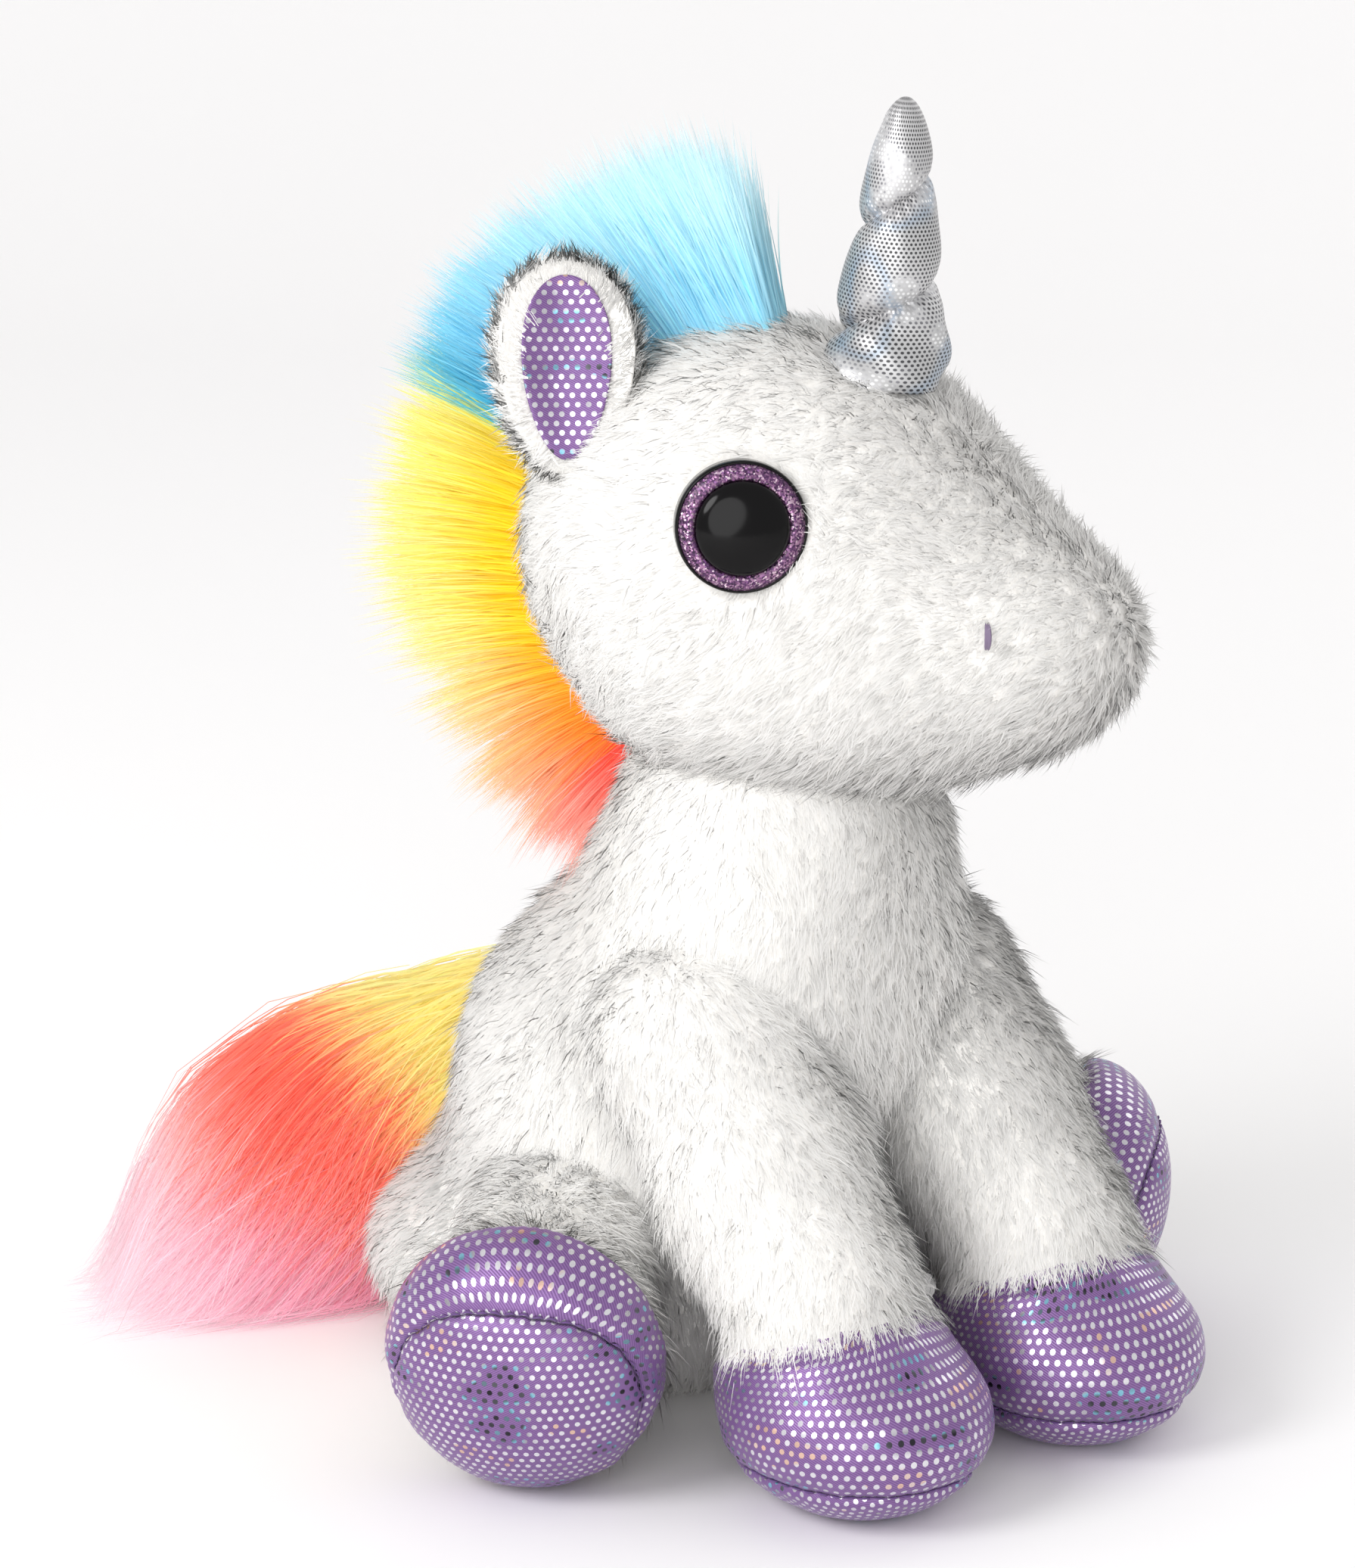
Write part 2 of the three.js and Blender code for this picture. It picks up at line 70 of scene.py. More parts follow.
def turnZ(degrees):
    c, s = math.cos(math.radians(degrees)), math.sin(math.radians(degrees))
    return np.array([[c, -s, 0], [s, c, 0], [0, 0, 1]])


def unit(v):
    return v / np.maximum(np.linalg.norm(v, axis=-1, keepdims=True), 1e-9)


def smooth(x, low, high):
    t = np.clip((x - low) / (high - low), 0, 1)
    return t * t * (3 - 2 * t)


def dot(a, b):
    return (a * b).sum(-1)


# A part's own frame: where its origin is and how it is turned.
class Place:
    def __init__(self, origin=(0, 0, 0), turn=np.eye(3)):
        self.origin, self.turn = np.array(origin, float), turn

    def points(self, p):
        return p @ self.turn.T + self.origin

    def ways(self, v):
        return v @ self.turn.T

    def inside(self, other):
        return Place(other.points(self.origin), other.turn @ self.turn)

    def local(self, p):
        return (p - self.origin) @ self.turn


# Slow waves, a stand-in for smooth noise: a sum of six sines of turned coordinates.
def waves(p, length, seed):
    local = np.random.default_rng(seed)
    total = np.zeros(p.shape[:-1])
    for _ in range(6):
        way = unit(local.normal(size=3)) * (2 * math.pi / length) * local.uniform(0.6, 1.7)
        total += np.sin(p @ way + local.uniform(0, 6.28))
    return total / 3


def form(lumps, softness, heart, floor=None):
    return {
        "middles": [np.array(m, float) for m, s in lumps],
        "radii": [np.array(s, float) / 2 for m, s in lumps],
        "softness": softness,
        "heart": np.array(heart, float),
        "floor": floor,
    }


# Distance to ellipsoids that flow into each other: the nearer one, lowered where two are about as near.
def formDistance(p, f):
    total = None
    for middle, radii in zip(f["middles"], f["radii"]):
        scaled = (p - middle) / radii
        reach = np.linalg.norm(scaled, axis=-1)
        steep = np.maximum(np.linalg.norm(scaled / radii, axis=-1), 1e-9)
        near = reach * (reach - 1) / steep
        if total is None:
            total = near
        else:
            mix = np.maximum(f["softness"] - np.abs(total - near), 0) / f["softness"]
            total = np.minimum(total, near) - mix * mix * f["softness"] / 4
    return total


def formNormal(p, f):
    steps = np.eye(3) * 0.05
    slope = [formDistance(p + s, f) - formDistance(p - s, f) for s in steps]
    return unit(np.stack(slope, -1))


# Where rays from start along ways first come to lie inset below the form's skin: a march, then halving.
def skinPoints(f, ways, inset=0.0, start=None):
    start = f["heart"] if start is None else start
    near = np.zeros(ways.shape[:-1])
    going = np.ones(near.shape, bool)
    for _ in range(70):
        going &= formDistance(start + ways * (near + 3)[..., None], f) + inset < 0
        near = np.where(going, near + 3, near)
    far = near + 3
    for _ in range(16):
        middle = (near + far) / 2
        within = formDistance(start + ways * middle[..., None], f) + inset < 0
        near, far = np.where(within, middle, near), np.where(within, far, middle)
    p = start + ways * near[..., None]
    if f["floor"] is not None:
        p[..., 2] = np.maximum(p[..., 2], f["floor"] + 0.4)
    return p


# A closed ball of rings and sides with single points at its poles, as ways out from its middle.
def ballWays(sides, rings):
    tall = np.linspace(0, math.pi, rings + 1)[1:-1]
    around = np.linspace(0, 2 * math.pi, sides, endpoint=False)
    t, r = np.meshgrid(tall, around, indexing="ij")
    body = np.stack([np.sin(t) * np.cos(r), np.sin(t) * np.sin(r), np.cos(t)], -1).reshape(-1, 3)
    return np.vstack([body, [[0, 0, 1]], [[0, 0, -1]]])


# Faces of a closed stack of rings: quads between rings as triangle pairs, fans to the two end points.
def ringFaces(sides, rings):
    i = np.arange(rings - 1)[:, None] * sides
    j = np.arange(sides)
    k = (j + 1) % sides
    a, b, c, d = i + j, i + k, i + sides + k, i + sides + j
    walls = np.stack([a, d, c, a, c, b], -1).reshape(-1, 3)
    top, low = rings * sides, rings * sides + 1
    last = (rings - 1) * sides
    upper = np.stack([np.full(sides, top), j, k], -1)
    lower = np.stack([np.full(sides, low), last + k, last + j], -1)
    return np.concatenate([walls, upper, lower])


def linear(hexColour):
    parts = [int(hexColour[i : i + 2], 16) / 255 for i in (0, 2, 4)]
    return np.array([c / 12.92 if c <= 0.04045 else ((c + 0.055) / 1.055) ** 2.4 for c in parts])


# A mesh object from points in millimetres in the row frame; layers are named values per point.
def makeMesh(name, points, faces, material, layers=None, uv=None):
    name = name.replace(" ", "_")
    mesh = bpy.data.meshes.new(name)
    size = faces.shape[1]
    mesh.vertices.add(len(points))
    mesh.vertices.foreach_set("co", (points * 0.001).astype(np.float32).ravel())
    mesh.loops.add(faces.size)
    mesh.loops.foreach_set("vertex_index", faces.astype(np.int32).ravel())
    mesh.polygons.add(len(faces))
    mesh.polygons.foreach_set("loop_start", np.arange(0, faces.size, size, dtype=np.int32))
    mesh.polygons.foreach_set("use_smooth", np.full(len(faces), True))
    mesh.update(calc_edges=True)
    for key, values in (layers or {}).items():
        wide = values.ndim == 2
        layer = mesh.attributes.new(key, "FLOAT_VECTOR" if wide else "FLOAT", "POINT")
        layer.data.foreach_set("vector" if wide else "value", values.astype(np.float32).ravel())
    if uv is not None:
        layer = mesh.uv_layers.new(name="cloth")
        layer.data.foreach_set("uv", uv[faces.ravel()].astype(np.float32).ravel())
    mesh.materials.append(material)
    made = bpy.data.objects.new(name, mesh)
    bpy.context.scene.collection.objects.link(made)
    return made


# Faces of blades that each have two points at every level but the tip, which has one.
def bladeFaces(count, levels):
    each = 2 * levels - 1
    rows = []
    for level in range(levels - 2):
        a = 2 * level
        rows += [(a, a + 1, a + 3), (a, a + 3, a + 2)]
    rows.append((2 * levels - 4, 2 * levels - 3, 2 * levels - 2))
    return (np.arange(count)[:, None, None] * each + np.array(rows)).reshape(-1, 3)


# Blades along paths (count, levels, 3), flat towards a way; the width falls to nothing at the tip.
def bladePoints(paths, widths, towards):
    levels = paths.shape[1]
    run = np.gradient(paths, axis=1)
    across = unit(np.cross(run, towards[:, None, :]))
    taper = (1 - np.linspace(0, 1, levels) ** 2.2) * 0.5
    half = across * (widths[:, None] * taper)[..., None]
    pairs = np.stack([paths - half, paths + half], 2)[:, :-1].reshape(len(paths), -1, 3)
    return np.concatenate([pairs, paths[:, -1:]], 1).reshape(-1, 3)


# A value per level of each blade, laid out as bladePoints lays its points.
def perBlade(values):
    pairs = np.repeat(values[:, :-1], 2, axis=1)
    return np.concatenate([pairs, values[:, -1:]], 1).reshape(-1, *values.shape[2:])


# Random points on a triangle mesh, one for each equal share of its area, face by face, and their normals.
def scatter(points, faces, normals, count):
    a, b, c = points[faces[:, 0]], points[faces[:, 1]], points[faces[:, 2]]
    areas = np.linalg.norm(np.cross(b - a, c - a), axis=1)
    sums = np.cumsum(areas)
    share = (np.arange(count) + rng.random(count)) / count
    pick = np.minimum(np.searchsorted(sums, share * sums[-1]), len(faces) - 1)
    u, v = rng.random(count), rng.random(count)
    over = u + v > 1
    u, v = np.where(over, 1 - u, u), np.where(over, 1 - v, v)
    w = (1 - u - v)[:, None]
    u, v = u[:, None], v[:, None]
    root = a[pick] * w + b[pick] * u + c[pick] * v
    lean = normals[faces[pick, 0]] * w + normals[faces[pick, 1]] * u + normals[faces[pick, 2]] * v
    return root, unit(lean)


def meshArea(points, faces):
    a, b, c = points[faces[:, 0]], points[faces[:, 1]], points[faces[:, 2]]
    return np.linalg.norm(np.cross(b - a, c - a), axis=1).sum() / 2


def newMaterial(name):
    made = bpy.data.materials.new(name)
    made.use_nodes = True
    made.node_tree.nodes.clear()
    return made, made.node_tree


# One node with its settings; an input is a value or another node's output.
def addNode(tree, kind, inputs=None, **settings):
    made = tree.nodes.new("ShaderNode" + kind)
    for key, value in settings.items():
        setattr(made, key, value)
    for key, value in (inputs or {}).items():
        if isinstance(value, bpy.types.NodeSocket):
            tree.links.new(value, made.inputs[key])
        else:
            made.inputs[key].default_value = value
    return made


def finishMaterial(tree, shader):
    addNode(tree, "OutputMaterial", {"Surface": shader.outputs[0]})


def rgba(hexColour):
    return (*linear(hexColour), 1.0)


def maths(tree, operation, a, b=0.0, c=0.0):
    return addNode(tree, "Math", {0: a, 1: b, 2: c}, operation=operation).outputs[0]


def colourMix(tree, factor, a, b, blend="MIX"):
    made = addNode(tree, "Mix", {0: factor, 6: a, 7: b}, data_type="RGBA", blend_type=blend)
    return made.outputs[2]


# A blade stands for a few fine fibres with gaps between, so a share of the lamps' light goes past it.
def lightLoose(tree, shader, share):
    shadow = addNode(tree, "LightPath").outputs["Is Shadow Ray"]
    gaps = addNode(tree, "BsdfTransparent")
    passed = maths(tree, "MULTIPLY", shadow, share)
    return addNode(tree, "MixShader", {0: passed, 1: shader.outputs[0], 2: gaps.outputs[0]})


# The way a blade catches the light: mostly as the skin (the attribute lie), partly as the blade.
def pileNormal(tree, share):
    lie = addNode(tree, "Attribute", attribute_name="lie").outputs["Vector"]
    ways = {"vector_type": "NORMAL", "convert_from": "OBJECT", "convert_to": "WORLD"}
    skin = addNode(tree, "VectorTransform", {0: lie}, **ways).outputs[0]
    own = addNode(tree, "NewGeometry").outputs["Normal"]
    mixed = addNode(tree, "Mix", {0: share, 4: skin, 5: own}, data_type="VECTOR").outputs[1]
    return addNode(tree, "VectorMath", {0: mixed}, operation="NORMALIZE").outputs[0]


# Short plush pile: knitted polyester fur, sheared and brushed. The eye sees soft white tufts; the colour is
# painted brighter at their tips, warmer and darker at the roots, as painted shade deep in the pile; light
# goes through the thin fibres.
def makePlushPile():
    made, tree = newMaterial("white plush pile")
    along = addNode(tree, "Attribute", attribute_name="along").outputs["Fac"]
    tone = addNode(tree, "Attribute", attribute_name="tone").outputs["Fac"]
    # painted shade: each blade darkens and warms towards its root, where the pile shades itself
    deep = colourMix(tree, maths(tree, "POWER", along, 0.6), rgba("efedea"), rgba("f5f4f2"))
    colour = colourMix(tree, maths(tree, "MULTIPLY", tone, 0.4), deep, rgba("e8e6e2"))
    look = {"Base Color": colour, "Roughness": 0.8, "Specular IOR Level": 0.2}
    look["Normal"] = pileNormal(tree, 0.05)
    hair = addNode(tree, "BsdfPrincipled", look)
    through = addNode(tree, "BsdfTranslucent", {"Color": colour})
    both = addNode(tree, "MixShader", {0: 0.15, 1: hair.outputs[0], 2: through.outputs[0]})
    finishMaterial(tree, both)
    return made


# Knitted backing of the plush: dense polyester jersey. The eye only meets it deep between tufts, as a warm
# white.
def makeKnit():
    made, tree = newMaterial("knitted backing")
    place = addNode(tree, "TexCoord").outputs["Object"]
    loops = addNode(tree, "TexVoronoi", {"Vector": place, "Scale": 900.0})
    colour = colourMix(tree, loops.outputs["Distance"], rgba("f5f3f0"), rgba("ece9e4"))
    bump = addNode(tree, "Bump", {"Strength": 0.4, "Distance": 0.0004, "Height": loops.outputs["Distance"]})
    cloth = addNode(
        tree, "BsdfPrincipled", {"Base Color": colour, "Roughness": 0.95, "Normal": bump.outputs[0]}
    )
    finishMaterial(tree, cloth)
    return made


# Long dyed pile of mane and tail: combed polyester, airbrushed in bands. The eye sees separate shining
# hairs in clear colours that pale towards the tips.
def makeDyedPile():
    made, tree = newMaterial("dyed long pile")
    colour = addNode(tree, "Attribute", attribute_name="dye").outputs["Color"]
    look = {"Base Color": colour, "Roughness": 0.45, "Specular IOR Level": 0.35}
    look["Normal"] = pileNormal(tree, 0.6)
    hair = addNode(tree, "BsdfPrincipled", look)
    through = addNode(tree, "BsdfTranslucent", {"Color": colour})
    both = addNode(tree, "MixShader", {0: 0.5, 1: hair.outputs[0], 2: through.outputs[0]})
    finishMaterial(tree, lightLoose(tree, both, 0.8))
    return made


def colourRamp(tree, value, stops):
    ramp = addNode(tree, "ValToRGB", {0: value})
    while len(ramp.color_ramp.elements) < len(stops):
        ramp.color_ramp.elements.new(0.5)
    for element, (at, tint) in zip(ramp.color_ramp.elements, stops):
        element.position, element.color = at, rgba(tint)
    return ramp.outputs[0]


# Round dots in a staggered grid on the cloth's own map: two grids half a step apart, the nearer dot wins.
# Gives the dot's mask and three random numbers that stay the same all over one dot.
def dotGrid(tree, pitch, radius, edge):
    cloth = addNode(tree, "UVMap", uv_map="cloth").outputs[0]
    step = (1 / pitch, 1 / (pitch * 1.732), 1.0)
    masks, seeds = [], []
    for shift in ((0, 0, 0), (0.5, 0.5, 0)):
        grid = addNode(tree, "Mapping", {"Vector": cloth, "Location": shift, "Scale": step}).outputs[0]
        cell = addNode(tree, "VectorMath", {0: grid}, operation="FLOOR").outputs[0]
        part = addNode(tree, "VectorMath", {0: grid}, operation="FRACTION").outputs[0]
        centred = addNode(tree, "VectorMath", {0: part, 1: (0.5, 0.5, 0)}, operation="SUBTRACT").outputs[0]
        size = addNode(tree, "VectorMath", {0: centred, 1: (pitch, pitch * 1.732, 0)}, operation="MULTIPLY")
        away = addNode(tree, "VectorMath", {0: size.outputs[0]}, operation="LENGTH").outputs["Value"]
        mask = addNode(
            tree, "MapRange", {0: away, 1: radius - edge, 2: radius + edge, 3: 1.0, 4: 0.0}
        ).outputs[0]
        offset = addNode(tree, "VectorMath", {0: cell, 1: (shift[0] * 31, 7, 3)}, operation="ADD")
        masks.append(mask)
        seeds.append(offset.outputs[0])
    mask = maths(tree, "MAXIMUM", masks[0], masks[1])
    first = maths(tree, "GREATER_THAN", masks[0], masks[1])
    seed = addNode(tree, "Mix", {0: first, 4: seeds[1], 5: seeds[0]}, data_type="VECTOR").outputs[1]
    noise = addNode(tree, "TexWhiteNoise", {"Vector": seed}, noise_dimensions="3D")
    return mask, noise.outputs["Value"], noise.outputs["Color"]


# Normal leaned a little by a random colour, so that each foil dot mirrors another part of the room.
def leanedNormal(tree, colour, amount):
    lean = addNode(tree, "VectorMath", {0: colour, 1: (0.5, 0.5, 0.5)}, operation="SUBTRACT").outputs[0]
    scaled = addNode(tree, "VectorMath", {0: lean, "Scale": amount}, operation="SCALE").outputs[0]
    own = addNode(tree, "NewGeometry").outputs["Normal"]
    added = addNode(tree, "VectorMath", {0: own, 1: scaled}, operation="ADD").outputs[0]
    return addNode(tree, "VectorMath", {0: added}, operation="NORMALIZE").outputs[0]


# Lilac foil-dotted cloth: satin-faced polyester with round film dots pressed on. The eye sees a soft violet
# sheen with rows of small mirrors, most silver, some blue or peach; which dots are dark or bright is
# painted reflection in banded patches, and the twill's grooves are painted darker as painted shade.
# deep is the darker lilac painted into the twill's grooves as painted shade; the last value scales the
# patches of painted reflection over the dots
lilacFoil = {"pitch": 2.3, "radius": 0.6, "cloth": "8a679f", "deep": "68497d", "twill": 0.42, "reflectionPatch": 48.0}


def makeLilacFoil():
    made, tree = newMaterial("lilac foil-dotted cloth")
    cloth = addNode(tree, "UVMap", uv_map="cloth").outputs[0]
    mask, value, colour = dotGrid(tree, lilacFoil["pitch"], lilacFoil["radius"], 0.06)
    place = addNode(tree, "TexCoord").outputs["Object"]
    rib = addNode(tree, "VectorMath", {0: cloth, 1: (0.5, 0.86, 0)}, operation="DOT_PRODUCT")
    weave = maths(tree, "MULTIPLY", rib.outputs["Value"], 2 * math.pi / lilacFoil["twill"])
    weave = maths(tree, "SINE", weave)
    weave = maths(tree, "MULTIPLY_ADD", weave, 0.5, 0.5)
    # painted shade: where the twill's bump is low, in its grooves, the colour turns to the darker lilac
    ground = colourMix(tree, weave, rgba(lilacFoil["deep"]), rgba(lilacFoil["cloth"]))
    # painted reflection: banded patches of noise, with a little chance per dot, set each dot's colour from
    # near black through silver, with blue and peach tints
    banded = addNode(tree, "Mapping", {"Vector": place, "Scale": (1.0, 1.0, 2.4)}).outputs[0]
    reflectionPatch = addNode(tree, "TexNoise", {"Vector": banded, "Scale": lilacFoil["reflectionPatch"], "Detail": 1.0})
    spread = addNode(tree, "MapRange", {0: reflectionPatch.outputs["Fac"], 1: 0.33, 2: 0.66}).outputs[0]
    share = maths(tree, "ADD", maths(tree, "MULTIPLY", spread, 0.84), maths(tree, "MULTIPLY", value, 0.16))
    stops = [(0.0, "16121a"), (0.12, "5a5a62"), (0.19, "7fb9cf"), (0.26, "a5a1aa"), (0.36, "c4c1ca")]
    stops += [(0.6, "dddbe1"), (0.88, "d8d6dd"), (0.95, "dab7a6")]
    filmAndReflection = colourRamp(tree, share, stops)
    bump = addNode(tree, "Bump", {"Strength": 0.3, "Distance": 0.0001, "Height": weave})
    satin = {"Base Color": ground, "Roughness": 0.36, "Metallic": 0.35, "Sheen Weight": 0.15}
    satin["Sheen Tint"] = rgba("d9c4f2")
    satin["Normal"] = bump.outputs[0]
    cloth = addNode(tree, "BsdfPrincipled", satin)
    dots = {"Base Color": filmAndReflection, "Roughness": 0.25, "Metallic": 0.75}
    dots["Normal"] = leanedNormal(tree, colour, 0.22)
    mirror = addNode(tree, "BsdfPrincipled", dots)
    both = addNode(tree, "MixShader", {0: mask, 1: cloth.outputs[0], 2: mirror.outputs[0]})
    finishMaterial(tree, both)
    return made


# Silver foil cloth of the horn: knit with a pressed metal film that breaks up at fine holes. The eye sees
# soft silver with rows of tiny points; the points painted dark in some places and bright in others, and the
# film's patchy cold blue cast, are painted reflection.
silverFoil = {"pitch": 1.0, "radius": 0.29}


def makeSilverFoil():
    made, tree = newMaterial("silver foil cloth")
    mask, value, _ = dotGrid(tree, silverFoil["pitch"], silverFoil["radius"], 0.05)
    place = addNode(tree, "TexCoord").outputs["Object"]
    # painted reflection: large noise patches set the tiny points dark or bright, and other patches give the
    # film a paler, darker or cold blue cast
    reflectionPatch = addNode(tree, "TexNoise", {"Vector": place, "Scale": 75.0, "Detail": 1.0}).outputs["Fac"]
    blueCastReflection = addNode(tree, "TexNoise", {"Vector": place, "Scale": 48.0, "Detail": 1.0}).outputs["Fac"]
    spread = addNode(tree, "MapRange", {0: reflectionPatch, 1: 0.36, 2: 0.64}).outputs[0]
    share = maths(tree, "ADD", maths(tree, "MULTIPLY", spread, 0.8), maths(tree, "MULTIPLY", value, 0.2))
    dotReflectionStops = [(0.2, "121115"), (0.55, "36363b"), (0.76, "808085"), (0.93, "efeff0")]
    filmReflectionStops = [(0.3, "cfcecf"), (0.54, "bcbcbd"), (0.6, "a9b3bf"), (0.66, "c2c1c2")]
    dotReflection = colourRamp(tree, share, dotReflectionStops)
    filmAndReflection = colourRamp(tree, blueCastReflection, filmReflectionStops)
    tint = colourMix(tree, maths(tree, "MULTIPLY", mask, 0.9), filmAndReflection, dotReflection)
    foil = addNode(tree, "BsdfPrincipled", {"Base Color": tint, "Roughness": 0.42, "Metallic": 0.55})
    finishMaterial(tree, foil)
    return made


# Glitter ring of the eye: flakes of film set in lacquer. The eye sees countless pink-lilac sparks that
# change from flake to flake under one clear gloss; each flake's colour, near black to near white, is partly
# its own tint and partly painted glint and painted dark reflection.
def makeGlitter():
    made, tree = newMaterial("lilac glitter lacquer")
    place = addNode(tree, "TexCoord").outputs["Object"]
    flakes = addNode(tree, "TexVoronoi", {"Vector": place, "Scale": 2600.0})
    mixed = addNode(tree, "SeparateColor", {0: flakes.outputs["Color"]})
    # partly painted glint: each flake's random colour runs from near black to near white around its
    # pink-lilac tint
    stops = [(0.0, "26122c"), (0.35, "55305c"), (0.62, "82557f"), (0.85, "bb8db2"), (0.97, "ffe6f6")]
    tint = colourRamp(tree, mixed.outputs[0], stops)
    look = {"Base Color": tint, "Roughness": 0.3, "Metallic": 0.75}
    look["Coat Weight"] = 0.35
    look["Coat Roughness"] = 0.15
    look["Normal"] = leanedNormal(tree, flakes.outputs["Color"], 0.9)
    finishMaterial(tree, addNode(tree, "BsdfPrincipled", look))
    return made


def makePlain(name, hexColour, roughness, more=None):
    made, tree = newMaterial(name)
    shader = addNode(tree, "BsdfPrincipled", {"Base Color": rgba(hexColour), "Roughness": roughness})
    for key, value in (more or {}).items():
        shader.inputs[key].default_value = value
    finishMaterial(tree, shader)
    return made

plushPile = makePlushPile()
knit = makeKnit()
dyedPile = makeDyedPile()
lilacCloth = makeLilacFoil()
silverCloth = makeSilverFoil()
glitter = makeGlitter()
# Black acrylic of the eye: injection moulded and polished. The eye sees deep black with one highlight.
blackAcrylic = makePlain("black acrylic", "030203", 0.13, {"Specular IOR Level": 0.2})
# Purple polyester thread: two plies twisted hard. The eye sees short dull stitches.
purpleThread = makePlain("purple thread", "5c3a78", 0.6, {"Sheen Weight": 0.3})
stitchThread = makePlain("lilac thread", "75657f", 0.55, {"Sheen Weight": 0.3})
print("materials made")

# clump is the distance between tufts; up and lay are shares of the length; the last four are unevenness
pileSize = {"clump": 2.2, "hairs": 14, "spread": 0.95, "long": 5.4, "wide": 0.27, "up": 0.48, "lay": 0.76}
pileSize.update(wander=0.22, uneven=0.18, stray=0.13, roll=0.45)


# Tufts of short blades over a skin, given as points, faces and normals in its own frame. Flow gives the
# way they lie and keep says where they grow. Each blade rises along the normal, less and less, while it
# runs along the flow, more and more, and gathers towards its tuft's middle.
def growPile(name, skin, place, flow, keep, body, size=None, share=1.0):
    points, faces, normals = skin
    use = {**pileSize, **(size or {})}
    count = int(meshArea(points, faces) / use["clump"] ** 2 * share)
    root, normal = scatter(points, faces, normals, count)
    kept = keep(root)
    root, normal = root[kept], normal[kept]
    count, hairs = len(root), use["hairs"]
    way = flow(root) + rng.normal(size=root.shape) * use["wander"]
    way = unit(way - normal * dot(way, normal)[:, None])
    side = np.cross(normal, way)
    long = use["long"] * (1 + use["uneven"] * rng.normal(size=count)).clip(0.5, 1.5)
    if "longer" in use:
        long = long * use["longer"](root)
    bend = use["up"] * (1 + 0.25 * rng.normal(size=count)).clip(0.4, 1.8)
    # every tuft's hairs start around its middle and lean together at their tips
    around = rng.normal(size=(count, hairs, 2)) * use["spread"]
    start = root[:, None] + way[:, None] * around[..., :1] + side[:, None] * around[..., 1:]
    levels = 3
    t = np.linspace(0, 1, levels)[None, None, :, None]
    each = long[:, None] * (1 + 0.14 * rng.normal(size=(count, hairs))).clip(0.5, 1.5)
    each = each[..., None, None]
    rise = normal[:, None, None] * (bend[:, None, None, None] * (t - 0.32 * t * t))
    run = way[:, None, None] * (use["lay"] * (0.55 * t + 0.45 * t * t))
    stray = rng.normal(size=(count, hairs, 1, 3)) * use["stray"] * t
    hold = rng.uniform(0.1, 0.85, (count, hairs, 1, 1))
    gather = -(start - root[:, None])[:, :, None] * (hold * t * t)
    paths = start[:, :, None] + each * (rise + run + stray) + gather
    paths = paths.reshape(-1, levels, 3)
    facing = np.repeat(normal, hairs, 0) + rng.normal(size=(len(paths), 3)) * use["roll"]
    widths = use["wide"] * rng.uniform(0.6, 1.3, len(paths))
    blades = bladePoints(paths, widths, facing)
    ramp = np.broadcast_to(np.linspace(0, 1, levels), (len(paths), levels))
    tone = np.repeat(rng.random(count), hairs)[:, None] * 0.6 + rng.random(len(paths))[:, None] * 0.4
    lie = place.ways(normal)
    if body.startswith("ear"):
        # an ear is thin enough for light to come through from the other side
        lie = unit(lie * 0.6 + place.ways(np.array([0, -0.4, 0.3])))
    elif body != "head":
        lie = bodyNormal(place.points(root))
    lie = np.repeat(np.repeat(lie, hairs, 0)[:, None], levels, 1)
    layers = {
        "along": perBlade(ramp),
        "tone": perBlade(np.repeat(tone, levels, 1)),
        "lie": perBlade(lie),
    }
    world = place.points(blades)
    world[:, 2] = np.maximum(world[:, 2], 0.5)
    made = makeMesh(name, world, bladeFaces(len(paths), levels), plushPile, layers)
    made.visible_shadow = False  # white fibres pass so much light on that only the cloth below them shades
    print(name, len(paths), "hairs")
    return made


# A skin's grid: the closed ball of ways sent out to the form, and its normals from the form's slope.
def skinOf(f, sides, rings, inset, shape=None):
    points = skinPoints(f, ballWays(sides, rings), inset)
    normals = formNormal(points, f)
    if shape is not None:
        points = shape(points, normals)
    return points, ringFaces(sides, rings - 1), normals


# each lump is its middle and its width, depth and height; then softness, heart and floor
torso = form(
    [
        ((0, 3, 22), (130, 126, 66)),
        ((0, -14, 64), (110, 106, 108)),
        ((0, -42, 98), (84, 84, 84)),
        ((0, -47, 134), (70, 70, 70)),
    ],
    26,
    (0, -25.2, 78.4),
    0.0,
)
here = Place()
neckPoint = np.array([0, -47.0, 134])
headPlace = Place(neckPoint, turnZ(25))
legPlaces, legForms = {}, {}
for word, side in (("right", -1), ("left", 1)):
    legPlaces["front_leg_" + word] = Place((side * 30, -55, 90))
    legForms["front_leg_" + word] = form(
        [
            ((0, 0, 0), (54, 54, 54)),
            ((side, -21.2, -25.2), (53, 51, 61)),
            ((side * 2, -41.3, -46.8), (46, 46, 49)),
            ((side * 2, -53, -70.5), (57, 62, 42)),
        ],
        14,
        (side, -32.9, -40.5),
        -90.0,
    )
    legPlaces["rear_leg_" + word] = Place((side * 38, -21, 39.2), turnZ(side * 50) @ turnX(-82))
    legForms["rear_leg_" + word] = form(
        [((0, 0, 0), (52, 52, 52)), ((0, 0, -29.5), (50, 50, 59)), ((0, 0, -59), (61, 61, 42))],
        14,
        (0, 0, -29.5),
    )

head = form(
    [((0, 2, 60), (98, 116, 102)), ((0, -42, 45), (62, 84, 60)), ((0, -6, 34), (80, 80, 46))],
    20,
    (0, -12.6, 51),
)
skinInset = 2.4


# How deep points of the row frame lie in any leg, negative inside.
def legDepth(p):
    return np.min([formDistance(legPlaces[n].local(p), legForms[n]) for n in legForms], axis=0)


def headDepth(p):
    return formDistance(headPlace.local(p), head)


